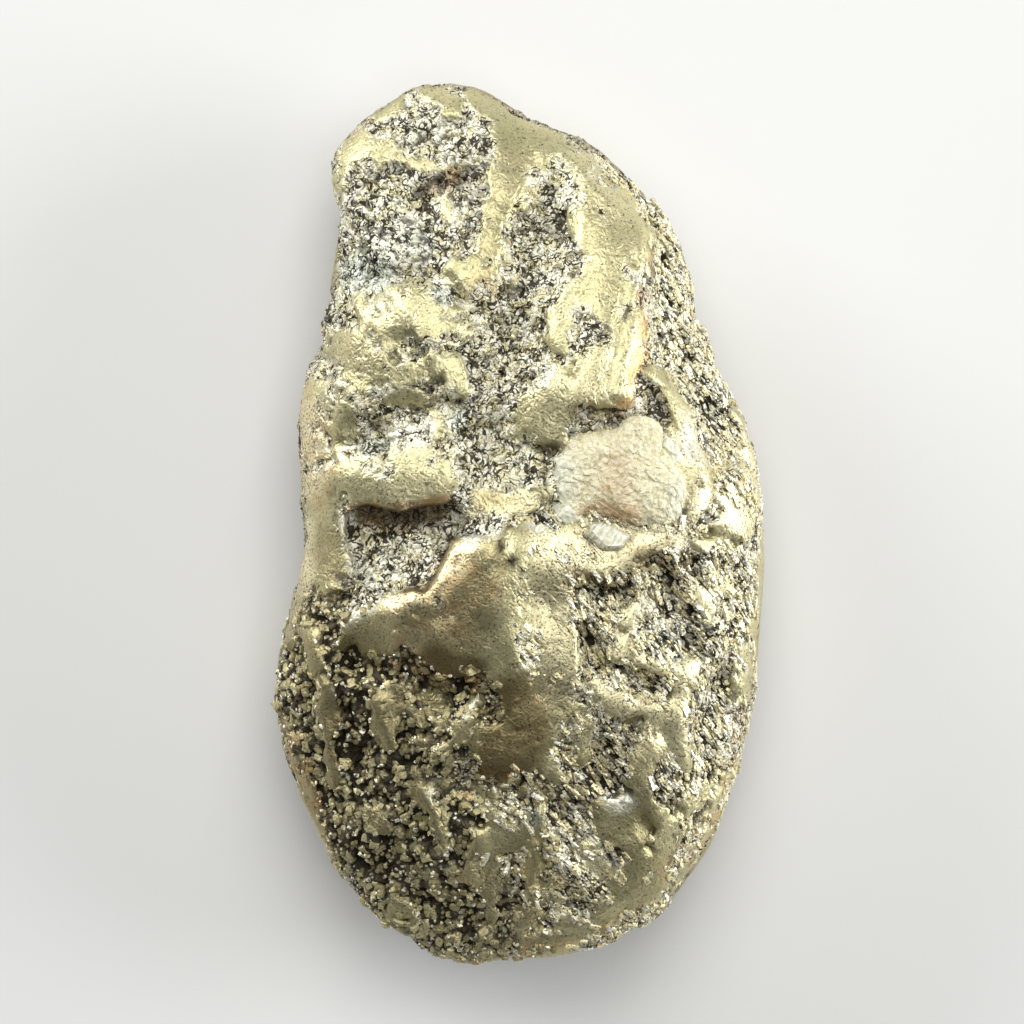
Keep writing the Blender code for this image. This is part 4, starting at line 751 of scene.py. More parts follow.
def slab(directions):
    """The bare form of the nugget, and each point's share of the way from the centre to the rim."""
    stretched = directions[:, :2] * (WIDTH / 2, LENGTH / 2)
    angles = np.arctan2(stretched[:, 1], stretched[:, 0])
    share = np.hypot(directions[:, 0], directions[:, 1])
    out = reach(nugget_curve(), angles) * share
    plan = np.stack([out * np.cos(angles), out * np.sin(angles)], axis=1)
    face = dome(crest_height(*plan.T), share, FACE_PROFILE)
    back = dome(-(RIM_HEIGHT + REST_OVERCUT), share, BACK_PROFILE)
    height = RIM_HEIGHT + np.where(directions[:, 2] > 0, face, back)
    return np.column_stack([plan, height]), share


def face_height(place):
    """Height of the bare face at a place in plan."""
    share = np.hypot(*place) / reach(nugget_curve(), np.arctan2(place[1], place[0]))
    return RIM_HEIGHT + dome(crest_height(*place), share, FACE_PROFILE)


def rawness(points, drawn, on_face, coarse):
    """How raw the metal is at each place, from 0, a worn land, to 1."""
    wavelength, distance = RAGGED
    ragged = drawn + distance * np.column_stack([waves(points, wavelength, seed) for seed in (62, 63)])
    face = painted(ragged, RAW, np.full(len(points), OPEN_ROUGHNESS))
    face = painted(ragged, LANDS, face)
    recess = smooth(depth_inside(drawn, RECESS) / 0.3 + 0.1)
    face += recess * (1.0 - face)
    wavelength, bias = BACK_ZONES
    other = smooth(0.5 + bias + 1.8 * waves(points, wavelength, 4))
    value = other + on_face * (face - other)
    for wavelength, rawer, seed in EDGE_WAVES:
        value += rawer * waves(points, wavelength, seed)
    islands = ISLANDS[1] * waves(points, ISLANDS[0], 15)
    value -= islands + COARSE_ISLANDS[1] * coarse * (waves(points, COARSE_ISLANDS[0], 16) + 0.05)
    return np.clip(value, 0.0, 1.0)


def hole_depth(drawn, points):
    """Depth of the drawn holes, with ragged edges."""
    depth = np.zeros(len(drawn))
    ragged = sum(width * waves(points, wavelength, seed) for wavelength, width, seed in HOLE_WAVES)
    for line, radius in HOLES:
        chosen, distance = near_line(drawn, line, radius + 0.4)
        wall = smooth((radius - distance + ragged[chosen]) / HOLE_EDGE + 0.5)
        depth[chosen] = np.maximum(depth[chosen], (HOLE_SHAPE[0] + HOLE_SHAPE[1] * radius) * wall)
    return depth


def dimples(points):
    """Small round pits scattered over the lands: 0 outside them and 1 at their middles."""
    spacing, radius, _ = DIMPLES
    _, _, number, distance = facets(points, spacing, 61)
    size = radius * (0.5 + number) / spacing
    return np.where(number > 1.0 - DIMPLED, np.clip(1.0 - (distance / size) ** 2, 0.0, 1.0), 0.0)


def skin_relief(points, drawn, raw, front, grain, coarse):
    """Height of the fine relief, and how dark each place is: painted shade and some patina in the pits,
    dimples and holes, with the dark spots.
    """
    knob = knobbed(points, grain, coarse)
    height = (KNOB_HEIGHT[0] + KNOB_HEIGHT[1] * coarse) * knob
    height += RAW_WAVES[1] * waves(points, RAW_WAVES[0], 37)
    grit = 0.5 + 0.5 * knob
    for size, rise, seed in FACETS:
        facet, _, number, _ = facets(points, size, seed)
        height += rise * (facet + FACET_LIFT * (number - 0.5))
        grit += 0.12 * (number - 0.5)
    deep = smooth((raw - 0.32) / 0.3)
    level, more, edge, depth = PITS
    pit = smooth(((level + more * coarse) * raw - grit) / edge + 0.5) * smooth(raw / 0.5)
    relief = raw * height - deep * RAW_SINK - depth * pit
    dimple = dimples(points) * (1.0 - raw)
    relief += (1.0 - deep) * sum(rise * waves(points, wavelength, 51) for wavelength, rise in LAND_WAVES)
    relief -= DIMPLES[2] * dimple
    hole = front * hole_depth(drawn, points)
    gap = np.clip(0.8 * pit + 0.6 * dimple + 1.8 * hole + strongest(drawn, SPOTS), 0.0, 1.0)
    return relief - hole, gap


def pockets(points, on_face):
    """Where the skin makes room for the lump and for the flake, and the dark line round both."""
    insides = [depth_inside(points[:, :2], outline) for outline in (LUMP_OUTLINE, FLAKE_OUTLINE)]
    lump, flake = (smooth(inside / wall - 0.6) * on_face
                   for inside, (wall, _) in zip(insides, (LUMP_POCKET, FLAKE_POCKET)))
    out, half_width = RIM_SHADOW
    rims = [smooth(1.0 - np.abs(inside + out) / half_width) for inside in insides]
    shadow = on_face * np.maximum(*rims) * (0.6 + 0.7 * waves(points, 0.8, 14)).clip(0.0, 1.0)
    return lump, flake, shadow


def metal_tints(points, drawn, on_face):
    """Strength of the copper and blue tints, of the brown, which is patina and painted shade, and of the
    painted glints at each place.
    """
    kinds = (COPPER, BLUE, BROWN, SPARKLE)
    tints = np.column_stack([on_face * strongest(drawn, strokes) for strokes in kinds])
    wavelength, strength = BACK_PATINA
    tints[:, 2] += (1.0 - on_face) * strength * smooth(0.5 + 1.6 * waves(points, wavelength, 18))
    tints[:, 0] += (1.0 - on_face) * strength * smooth(2.4 * waves(points, 3.1, 19))
    return tints


def nugget_mesh():
    """The nugget's mesh, and the ground that its crystals and grains may sit on."""
    directions, triangles = box_sphere(BODY_STEPS)
    directions[:, 2] += FACE_SHARE
    directions = unit(directions)
    points, share = slab(directions)
    mesh = mesh_of("domeykite", points, triangles)
    normals = normals_of(mesh)
    on_face = smooth(directions[:, 2] / FACE_EDGE)
    front = on_face * smooth((1.0 - share) / FEATURE_FADE)
    drawn = wandered(points[:, :2])
    grain, coarse = (on_face * strongest(drawn, strokes) for strokes in (GRAIN, COARSE))
    raw = rawness(points, drawn, on_face, coarse)
    swell = np.minimum(SWELL[1] * waves(points, SWELL[0], 1), 0.1)
    lumps = LUMPS[1] * np.minimum(waves(points, LUMPS[0], 2) - 0.15, 0.0) * smooth(raw / 0.8)
    points += normals * (swell + lumps)[:, None]
    points[:, 2] += front * face_relief(drawn)
    move_points(mesh, points)
    normals = normals_of(mesh)
    relief, gap = skin_relief(points, drawn, raw, front, grain, coarse)
    lump, flake, shadow = pockets(points, on_face)
    gap = np.maximum(gap, shadow)
    points += normals * relief[:, None]
    points[:, 2] -= LUMP_POCKET[1] * lump + FLAKE_POCKET[1] * np.maximum(flake - lump, 0.0)
    points[:, 2] = np.maximum(points[:, 2], 0.0)
    move_points(mesh, points)
    tints = metal_tints(points, drawn, on_face)
    # pale holds the painted highlights; the skin stores rawness, gap (painted shade of pits, holes and the
    # calcite's rim, partly patina, with the dark spots), pale and frost
    pale = on_face * strongest(drawn, PAINTED_HIGHLIGHTS)
    store_colours(mesh, "skin", (raw, gap, pale, smooth((raw - 0.25) / 0.5)))
    store_colours(mesh, "tint", tints.T)
    store_colours(mesh, "grain", (grain, coarse))
    free = (points[:, 2] > 0.5) & (lump + flake < 0.05)
    ground = np.column_stack([points, normals, tints, raw, gap, coarse, on_face, grain])[free]
    return settled(thinned(mesh, BODY_TRIANGLES)), ground


def settled(mesh):
    """The mesh with no point below the surface that the nugget lies on."""
    points = points_of(mesh)
    points[:, 2] = np.maximum(points[:, 2], 0.0)
    move_points(mesh, points)
    return mesh


# ---------------------------------------------------------------- materials

CREAM = (0.71, 0.65, 0.38, 1)  # colours of the metal
OLIVE = (0.36, 0.34, 0.165, 1)
SILVER = (0.96, 0.94, 0.79, 1)
BUFF = (0.93, 0.84, 0.53, 1)
# DARK and GROUND are painted shade: DARK in pits, holes and stroke valleys, with the dark spots and specks;
# GROUND on the raw ground among the grains
DARK = (0.020, 0.014, 0.006, 1)
GROUND = (0.032, 0.023, 0.012, 1)
COPPER_RED = (0.62, 0.27, 0.07, 1)
BLUE_TINT = (0.55, 0.68, 0.70, 1)
PATINA_AND_SHADE = (0.155, 0.105, 0.036, 1)
SALT = 0.13  # wavelengths of the metal's speckle, tone and blotches
TONE = 0.6
BLOTCH = 3.4
STROKES_WIDE = 0.66  # wavelength of the raw metal's dark strokes, painted shade in the valleys of its fine relief
STROKES_FINE = 0.40
STROKE_STRETCH = 2.6  # their length against their width where the metal is grained
STROKE_WIDTH = 0.056  # where the metal is rawest, in the noise's own range
CLUMPS = 1.1  # wavelength of the strokes' gathering
METAL_BUMP = (0.6, 0.14)  # strength and depth

CALCITE_LIGHT = (0.86, 0.82, 0.57, 1)
CALCITE_STAIN = (0.64, 0.36, 0.17, 1)
CALCITE_SHADE = (0.60, 0.52, 0.31, 1)
CALCITE_GLINT = (0.95, 0.93, 0.82, 1)
CALCITE_COOL = (0.80, 0.83, 0.70, 1)
CALCITE_GROOVE_AND_SHADE = (0.36, 0.30, 0.17, 1)
FLAKE_LIGHT = (0.90, 0.92, 0.76, 1)
FLAKE_STAIN = (0.7, 0.6, 0.4, 1)
SUGAR = 0.42  # wavelength of the calcite's mottling
GLINTS = 0.2
CALCITE_CELLS = 0.28
CALCITE_BUMP = (0.6, 0.12)
CALCITE_IOR = 1.6
CALCITE_GLOW = (0.6, 0.5, 0.3)  # how far each colour of light travels inside it


def add(tree, kind, inputs=(), **settings):
    """A new node with its settings and inputs; an input is a value or another node's output."""
    made = tree.nodes.new(kind)
    for name, value in settings.items():
        setattr(made, name, value)
    for key, value in dict(inputs).items():
        if isinstance(value, bpy.types.NodeSocket):
            tree.links.new(value, made.inputs[key])
        else:
            made.inputs[key].default_value = value
    return made


def mixed(tree, factor, first, second):
    node = add(tree, "ShaderNodeMix", {0: factor, 6: first, 7: second}, data_type="RGBA")
    return node.outputs[2]


def sums(tree, operation, first, second):
    return add(tree, "ShaderNodeMath", {0: first, 1: second}, operation=operation).outputs[0]


def times(tree, first, second):
    return sums(tree, "MULTIPLY", first, second)


def ranged(tree, value, low, high, out_low=0.0, out_high=1.0):
    inputs = {"Value": value, "From Min": low, "From Max": high, "To Min": out_low, "To Max": out_high}
    return add(tree, "ShaderNodeMapRange", inputs).outputs[0]


def grain_noise(tree, place, wavelength, detail=2.0, distortion=0.0):
    """Noise whose blotches are about the wavelength apart, in millimetres."""
    inputs = {"Vector": place, "Scale": 1.0 / (wavelength * MM), "Detail": detail, "Distortion": distortion}
    return add(tree, "ShaderNodeTexNoise", inputs).outputs["Fac"]


def channels(tree, name):
    """The stored values of that name: the first three, and the fourth."""
    stored = add(tree, "ShaderNodeAttribute", attribute_name=name).outputs
    return add(tree, "ShaderNodeSeparateColor", {0: stored["Color"]}).outputs, stored["Alpha"]


def bump_from(tree, shader, height, strength, depth):
    bump = add(tree, "ShaderNodeBump", {"Height": height, "Strength": strength, "Distance": depth * MM})
    tree.links.new(bump.outputs[0], shader.inputs["Normal"])


def new_material(name):
    material = bpy.data.materials.new(name)
    material.use_nodes = True
    tree = material.node_tree
    return material, tree, tree.nodes["Principled BSDF"], add(tree, "ShaderNodeTexCoord").outputs["Object"]


def valleys(tree, place, wavelength, detail, distortion):
    """Distance from the curling lines where a noise crosses its middle."""
    level = sums(tree, "SUBTRACT", grain_noise(tree, place, wavelength, detail, distortion), 0.5)
    return sums(tree, "ABSOLUTE", level, 0.0)


def stroke_width(tree, place, raw, grain, coarse):
    """How wide the painted shade of the dark strokes is: wider where the metal is raw or grained, and
    gathered in clumps.
    """
    clump = ranged(tree, grain_noise(tree, place, CLUMPS, 2.0), 0.38, 0.62, 0.25, 1.5)
    grained = sums(tree, "ADD", times(tree, grain, 0.5), 1.0)
    broader = sums(tree, "SUBTRACT", grained, times(tree, coarse, 0.4))
    return times(tree, times(tree, ranged(tree, raw, 0.12, 0.8, 0.0, STROKE_WIDTH), clump), broader)


def shaded_strokes(tree, place, raw, grain, coarse):
    """Painted shade of the raw metal's curling or drawn-out dark strokes, which lie in the valleys of its
    fine relief, and that fine relief.
    """
    settings = {"Vector": place, "Rotation": (0.0, 0.0, GRAIN_ANGLE), "Scale": (STROKE_STRETCH, 1.0, 1.0)}
    combed = add(tree, "ShaderNodeMapping", settings, vector_type="TEXTURE").outputs[0]
    free = valleys(tree, place, STROKES_WIDE, 1.0, 0.9)
    drawn = valleys(tree, combed, STROKES_WIDE * 0.75, 1.0, 0.4)
    wide = add(tree, "ShaderNodeMix", {0: grain, 2: free, 3: drawn}, data_type="FLOAT").outputs[0]
    fine = valleys(tree, place, STROKES_FINE, 0.0, 0.8)
    width = stroke_width(tree, place, raw, grain, coarse)
    near = sums(tree, "DIVIDE", wide, sums(tree, "ADD", width, 0.0002))
    near_fine = sums(tree, "DIVIDE", fine, sums(tree, "ADD", times(tree, width, 0.55), 0.0002))
    dark = ranged(tree, sums(tree, "MINIMUM", near, near_fine), 0.75, 1.1, 1.0, 0.0)
    return dark, sums(tree, "ADD", times(tree, wide, 3.0), fine)


def tinted(tree, place, colour, tint, sparkle):
    """The metal's colour with its blue and copper places, its brown of patina and painted shade, and its
    painted glints.
    """
    colour = mixed(tree, times(tree, tint[1], 0.7), colour, BLUE_TINT)
    copper = times(tree, tint[0], ranged(tree, grain_noise(tree, place, 0.9), 0.35, 0.65, 0.0, 0.6))
    colour = mixed(tree, copper, colour, COPPER_RED)
    # brown: patina, and painted shade where the BROWN strokes mark shaded places
    colour = mixed(tree, times(tree, tint[2], 0.88), colour, PATINA_AND_SHADE)
    # painted glints: silver where the sparkle value is high
    return mixed(tree, sparkle, colour, SILVER)


def metal_material():
    material, tree, shader, place = new_material("domeykite")
    skin, frost = channels(tree, "skin")
    tint, sparkle = channels(tree, "tint")
    lines, _ = channels(tree, "grain")
    # gap: painted shade, partly patina, with the dark spots; bright: painted highlights on the face, and the
    # crystals' and grains' own lighter tones
    raw, gap, bright = skin[0], skin[1], skin[2]
    grain, coarse = lines[0], lines[1]
    dark, fine_relief = shaded_strokes(tree, place, raw, grain, coarse)
    salt = grain_noise(tree, place, SALT, 1.0)
    blotch = ranged(tree, grain_noise(tree, place, BLOTCH, 3.0), 0.38, 0.66)
    land = mixed(tree, times(tree, blotch, 0.4), CREAM, OLIVE)
    land = mixed(tree, ranged(tree, salt, 0.38, 0.60, 0.3, 0.0), land, OLIVE)
    tone = ranged(tree, grain_noise(tree, place, TONE, 2.0), 0.42, 0.54, 0.25, 1.0)
    light = times(tree, tone, ranged(tree, raw, 0.15, 0.6))
    shine = mixed(tree, times(tree, coarse, 0.75), SILVER, land)
    # BUFF where bright is high: painted highlights on the face, lighter tones on crystals and grains
    colour = mixed(tree, light, mixed(tree, bright, land, BUFF), shine)
    colour = tinted(tree, place, colour, tint, sparkle)
    # painted shade of the raw ground among the pebbles, beads and flecks, mixed towards GROUND
    ground_shade = sums(tree, "MAXIMUM", times(tree, coarse, 0.9), times(tree, grain, 0.85))
    colour = mixed(tree, times(tree, ground_shade, ranged(tree, raw, 0.25, 0.65)), colour, GROUND)
    stipple = sums(tree, "SUBTRACT", salt, times(tree, bright, 0.10))
    speck = times(tree, ranged(tree, stipple, 0.30, 0.34, 1.0, 0.0), 0.7)
    # painted shade of the pits, holes and stroke valleys, with some patina and the dark spots and specks,
    # mixed towards DARK
    deep = sums(tree, "MAXIMUM", sums(tree, "MAXIMUM", gap, speck), times(tree, dark, 0.96))
    tree.links.new(mixed(tree, deep, colour, DARK), shader.inputs["Base Color"])
    tree.links.new(ranged(tree, light, 0.0, 1.0, 0.75, 0.35), shader.inputs["Metallic"])
    rough = sums(tree, "ADD", ranged(tree, salt, 0.3, 0.7, 0.36, 0.48), times(tree, frost, 0.18))
    tree.links.new(rough, shader.inputs["Roughness"])
    relief = times(tree, fine_relief, ranged(tree, raw, 0.0, 0.8, 0.35, 1.0))
    bump_from(tree, shader, sums(tree, "ADD", relief, times(tree, salt, 0.25)), *METAL_BUMP)
    return material


def calcite_material(name, light, stain, roughness, transmission=0.0):
    material, tree, shader, place = new_material(name)
    marks, _ = channels(tree, "marks")
    sugar = ranged(tree, grain_noise(tree, place, SUGAR, 2.0, 0.6), 0.40, 0.62)
    glint = ranged(tree, grain_noise(tree, place, GLINTS, 1.0), 0.58, 0.66, 0.0, 0.6)
    colour = mixed(tree, times(tree, sugar, 0.6), light, CALCITE_SHADE)
    colour = mixed(tree, glint, colour, CALCITE_GLINT)
    colour = mixed(tree, marks[0], colour, stain)
    colour = mixed(tree, marks[1], colour, CALCITE_COOL)
    # dark grooves between grains and cleavage lines, and painted shade at the flake's edge and the crumbs'
    # undersides
    colour = mixed(tree, times(tree, marks[2], 0.6), colour, CALCITE_GROOVE_AND_SHADE)
    tree.links.new(colour, shader.inputs["Base Color"])
    tree.links.new(ranged(tree, sugar, 0.0, 1.0, roughness, roughness + 0.25), shader.inputs["Roughness"])
    shader.inputs["IOR"].default_value = CALCITE_IOR
    shader.inputs["Subsurface Weight"].default_value = 0.12
    shader.inputs["Subsurface Radius"].default_value = [distance * MM for distance in CALCITE_GLOW]
    shader.inputs["Transmission Weight"].default_value = transmission
    settings = {"Vector": place, "Scale": 1.0 / (CALCITE_CELLS * MM)}
    cells = add(tree, "ShaderNodeTexVoronoi", settings, feature="F1")
    bump_from(tree, shader, cells.outputs["Distance"], *CALCITE_BUMP)
    return material


# ---------------------------------------------------------------- calcite pieces

LUMP_STEPS = (96, 80, 56)
LUMP_TRIANGLES = 40000
LUMP_SUGAR = [(0.75, 0.08, 71), (0.30, 0.08, 83)]  # facets of its grains: size, height, seed
LUMP_CRACK = 0.16  # width of the cracks between them, as a share of their size
LUMP_SWELL = (1.9, 0.26)
LUMP_GROW = 0.12  # it fills its pocket more closely than the solid does
LUMP_SINKS = 0.06  # what its grains would add to its size otherwise

# Stained and cool places of the lump: middle, half lengths along x and y, and the stains' strength
LUMP_STAINS = [((4.9, 0.6), (1.7, 0.7), 1.0), ((5.3, 2.8), (1.0, 1.8), 0.45)]
LUMP_COOL = [((2.2, 2.4), (1.1, 3.0)), ((9.0, 1.4), (1.0, 2.0))]


def near_middle(points, middle, half_lengths, edge):
    """Nearness to the middle of a soft ellipse in plan, from 0 well outside it to 1."""
    x, y = ((points[:, :2] - middle) / half_lengths).T
    return smooth(edge - np.hypot(x, y))


def round_plan(directions, curve):
    """In plan, for each direction: how far a closed curve lies, the angle, and the share of the way out."""
    angles = np.arctan2(directions[:, 1], directions[:, 0])
    share = np.hypot(directions[:, 0], directions[:, 1])
    return reach(curve, angles), angles, share


def lump_marks(points, groove):
    """Stained, cool and grooved places of the lump."""
    stain = sum(strength * near_middle(points, middle, half, 1.5) for middle, half, strength in LUMP_STAINS)
    stain = stain * (0.75 + 0.5 * waves(points, 0.8, 9))
    cool = sum(near_middle(points, middle, half, 1.3) for middle, half in LUMP_COOL)
    return np.clip(0.8 * stain, 0, 1), np.clip(0.6 * cool, 0, 1), 0.45 * groove


def lump_piece():
    directions, triangles = box_sphere(LUMP_STEPS)
    out, angles, share = round_plan(directions, closed_curve(LUMP_OUTLINE) - LUMP_CENTRE)
    out = (out + LUMP_GROW) * share
    plan = np.column_stack([out * np.cos(angles), out * np.sin(angles)]) + LUMP_CENTRE
    rise = np.where(directions[:, 2] > 0, LUMP_ABOVE + LUMP_SINK, LUMP_SINK - LUMP_BELOW)
    points = np.column_stack([plan, face_height(LUMP_CENTRE) - LUMP_SINK + dome(rise, share, LUMP_PROFILE)])
    mesh = mesh_of("calcite", points, triangles)
    height = np.minimum(LUMP_SWELL[1] * waves(points, LUMP_SWELL[0], 5), 0.05)
    groove = np.zeros(len(points))
    for size, rise, seed in LUMP_SUGAR:
        facet, edge, number, _ = facets(points, size, seed)
        height += rise * (facet + FACET_LIFT * (number - 0.5))
        groove = np.maximum(groove, smooth(1.0 - edge / LUMP_CRACK) * (0.3 + 0.7 * number))
    points += normals_of(mesh) * (height - LUMP_SINKS)[:, None]
    move_points(mesh, points)
    store_colours(mesh, "marks", lump_marks(points, groove))
    material = calcite_material("cream_calcite", CALCITE_LIGHT, CALCITE_STAIN, 0.38)
    piece = link(thinned(mesh, LUMP_TRIANGLES), "calcite_lump_grain", material, False)
    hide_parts("calcite_lump")
    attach(piece, "root")


FLAKE_STEPS = (40, 34, 16)
FLAKE_HALF = 0.55  # its half thickness before it is cut
# Cleavage faces of the flake: direction each faces, and distance of its plane from the flake's middle
FLAKE_CUTS = [
    ((0.10, 0.25, 1.0), 0.40), ((-0.50, -0.35, 0.80), 0.62), ((0.62, 0.10, 0.78), 0.78),
    ((0.05, -0.80, 0.60), 0.72), ((0.0, 0.9, 0.45), 0.78), ((-0.9, 0.3, 0.4), 1.05),
]
CLEAVAGE = (0.8, -0.6)  # direction across the cleavage lines in plan
CLEAVAGE_STEPS = (0.3, 0.05)  # spacing and height of the steps on the flake's top
CLEAVAGE_LINES = 0.45  # spacing of the dark lines


def flake_form(outline):
    """The flake about its middle, cut along its cleavage faces: points, triangles, share of the way out."""
    directions, triangles = box_sphere(FLAKE_STEPS)
    around = np.vstack([outline, outline[:1]])
    sides = np.diff(around, axis=0)
    corners = np.concatenate([around[:-1] + sides * t for t in (0.0, 0.25, 0.5, 0.75)])
    out, angles, share = round_plan(directions, corners - outline.mean(0))
    out = out * share
    side = np.sign(directions[:, 2]) * (1.0 - share**6).clip(0.0) ** 0.5
    points = np.column_stack([out * np.cos(angles), out * np.sin(angles), FLAKE_HALF * side])
    for facing, distance in FLAKE_CUTS:
        normal = np.array(facing) / np.linalg.norm(facing)
        points -= np.maximum(points @ normal - distance, 0.0)[:, None] * normal
    return points, triangles, share


def flake_piece():
    """The flake, whose material the crumbs share."""
    outline = np.array(FLAKE_OUTLINE)
    points, triangles, share = flake_form(outline)
    across = points[:, 0] * CLEAVAGE[0] + points[:, 1] * CLEAVAGE[1]
    spacing, height = CLEAVAGE_STEPS
    steps = np.floor(across / spacing + 0.5 * waves(points, 0.8, 12))
    points[:, 2] += np.where(points[:, 2] > 0.1, height * (steps % 2), 0.0)
    middle = outline.mean(0)
    place = np.array([*middle, face_height(middle) - FLAKE_SINK + FLAKE_THICKNESS / 2])
    mesh = mesh_of("flake", points + place, triangles)
    # painted shade darkening the flake towards its edge
    edge = smooth((share - 0.80) / 0.15)
    lines = across / CLEAVAGE_LINES + 0.4 * waves(points, 0.9, 12)
    line = smooth(1.0 - np.abs(lines - np.round(lines)) / 0.16) * (points[:, 2] > 0.1)
    store_colours(mesh, "marks", (0.0, 0.3 * (steps % 2), np.maximum(0.9 * edge, 0.8 * line)))
    material = calcite_material("pale_calcite", FLAKE_LIGHT, FLAKE_STAIN, 0.18, 0.12)
    piece = link(mesh, "calcite_flake_chip", material, False)
    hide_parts("calcite_flake")
    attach(piece, "root")
    return material


# Crumbs of pale calcite in the face: place in plan, half length and half width
CRUMBS = [
    (2.7, 0.5, 0.62, 0.46), (2.2, 0.95, 0.4, 0.3), (1.1, -0.2, 0.34, 0.24), (8.3, 4.4, 0.5, 0.34),
    (8.5, 3.7, 0.3, 0.2), (1.5, 0.6, 0.2, 0.16), (1.4, 23.1, 0.2, 0.14), (3.4, 22.1, 0.22, 0.15),
    (-9.3, -2.6, 0.22, 0.14),
]
CRUMB_HEIGHT = 0.7  # half height of a crumb for each mm of its half width


def crumb_piece(ground, material):
    random = np.random.default_rng(3)
    face_bonus = 0.2 * (ground[:, FACE_AT] > 0.5)
    nearest = [np.argmin(np.hypot(ground[:, 0] - x, ground[:, 1] - y) - face_bonus) for x, y, _, _ in CRUMBS]
    rows = ground[nearest]
    rows[:, GRAIN_AT] = 0.0
    sizes = np.array([(long, wide, CRUMB_HEIGHT * wide) for _, _, long, wide in CRUMBS])
    forms, triangles = box_sphere((4, 4, 3))
    corners = grain_corners(rows, sizes, forms, random, 0.05).reshape(-1, 3)
    mesh = mesh_of("crumbs", corners, repeated(triangles, len(forms), len(rows)))
    # painted shade: each crumb darker towards its underside
    store_colours(mesh, "marks", (0.0, 0.2, np.tile(np.clip(-forms[:, 2], 0.0, 1.0), len(rows))))
    piece = link(mesh, "calcite_crumbs", material, False)
    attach(piece, "root")


# ---------------------------------------------------------------- crystals of the raw metal

SPACING = (0.20, 0.27)  # between crystals, on the face and elsewhere
CRYSTAL_RAWNESS = (0.42, 0.35)  # where crystals begin, and how gradually
CRYSTAL_SHARE = 0.25  # of the raw metal that carries crystals
CRYSTAL_LENGTH = (0.18, 0.42)
CRYSTAL_WIDTH = (0.10, 0.21)
CRYSTAL_DEPTH = 0.16  # of its foot below the skin
CRYSTAL_LEAN = 0.20
GRAINED = (1.2, 0.04)  # how much longer the crystals are where grained, and how much higher
GRAIN_SPREAD = 0.22  # radians by which their directions differ there
CRYSTAL_PIECES = 3
PIECE_CRYSTALS = 16500  # at most
LOWEST = 0.02  # of any crystal or grain above the surface that the nugget lies on
SQUARE = np.array([(-1, -1), (1, -1), (1, 1), (-1, 1)], float)
CRYSTAL_TRIANGLES = np.array([
    (0, 1, 2), (0, 2, 3), (4, 6, 5), (4, 7, 6), (0, 5, 1), (0, 4, 5), (1, 6, 2), (1, 5, 6),
    (2, 7, 3), (2, 6, 7), (3, 4, 0), (3, 7, 4),
])
# Where each of a crystal's corners lies in its square of the texture, foot first and then top
CRYSTAL_PLACES = np.array([(0, 0), (1, 0), (1, 1), (0, 1), (0.2, 0.2), (0.8, 0.2), (0.8, 0.8), (0.2, 0.8)])


def spread_out(ground, likely, spacing, random):
    """Rows of the ground picked by likelihood, no more than one to each cube with the given side."""
    order = random.permutation(len(ground))
    order = order[random.uniform(size=len(order)) < likely[order]]
    spacing = np.broadcast_to(spacing, len(ground))[order]
    cells = np.floor(ground[order, PLACE] / spacing[:, None]).astype(np.int64)
    keys = (cells + 500) @ np.array([1, 1001, 1001**2]) * 2 + (spacing > SPACING[0])
    _, first = np.unique(keys, return_index=True)
    return ground[order[np.sort(first)]]


def crystal_ground(ground, random):
    """The rows of the ground that carry a crystal, about one to each small cube of space."""
    begin, gradual = CRYSTAL_RAWNESS
    share = CRYSTAL_SHARE * (1.0 - ground[:, COARSE_AT]) * (1.0 - 0.6 * ground[:, GRAIN_AT])
    likely = share * smooth((ground[:, RAW_AT] - begin) / gradual + 0.5) * (1.0 - 0.8 * ground[:, GAP_AT])
    return spread_out(ground, likely, np.where(ground[:, FACE_AT] > 0.5, *SPACING), random)


def grain_directions(grain, random):
    """Direction of each crystal's length in plan: along the metal's grain, or any way."""
    along = GRAIN_ANGLE + random.normal(scale=GRAIN_SPREAD, size=len(grain))
    angles = np.where(grain > 0.5, along, random.uniform(0.0, np.pi, len(grain)))
    return np.column_stack([np.cos(angles), np.sin(angles), np.zeros(len(angles))])


def stances(rows, grain, lean, random):
    """Directions along, across and up from the skin for each row of ground, as three arrays."""
    up = unit(rows[:, NORMAL] + random.normal(scale=lean, size=(len(rows), 3)))
    along = grain_directions(grain, random)
    along = unit(along - (along * up).sum(1)[:, None] * up)
    return along, np.cross(up, along), up


def crystal_corners(rows, random):
    """Eight corners of a worn block for each row of ground."""
    count = len(rows)
    along, across, up = stances(rows, rows[:, GRAIN_AT], CRYSTAL_LEAN, random)
    length = random.uniform(*CRYSTAL_LENGTH, count) * (1.0 + GRAINED[0] * rows[:, GRAIN_AT]) / 2
    width = random.uniform(*CRYSTAL_WIDTH, count) / 2
    top = SQUARE * random.uniform(0.45, 0.85, (count, 1, 1)) + random.normal(scale=0.14, size=(count, 4, 2))
    foot = SQUARE + random.normal(scale=0.16, size=(count, 4, 2))
    lift = (GRAINED[1] * rows[:, GRAIN_AT] + random.normal(scale=0.02, size=count))[:, None]
    lift = lift + random.normal(scale=0.012, size=(count, 4))
    sides = np.concatenate([foot, top], axis=1)
    heights = np.concatenate([np.full((count, 4), -CRYSTAL_DEPTH), lift], axis=1)
    corners = rows[:, None, PLACE] + sides[..., :1] * (length[:, None] * along)[:, None]
    return corners + sides[..., 1:] * (width[:, None] * across)[:, None] + heights[..., None] * up[:, None]


def squares(count):
    """Lower corners of so many equal squares that fill the texture, and how many lie side by side."""
    across = math.ceil(math.sqrt(count))
    return np.column_stack([np.arange(count) % across, np.arange(count) // across]) / across, across


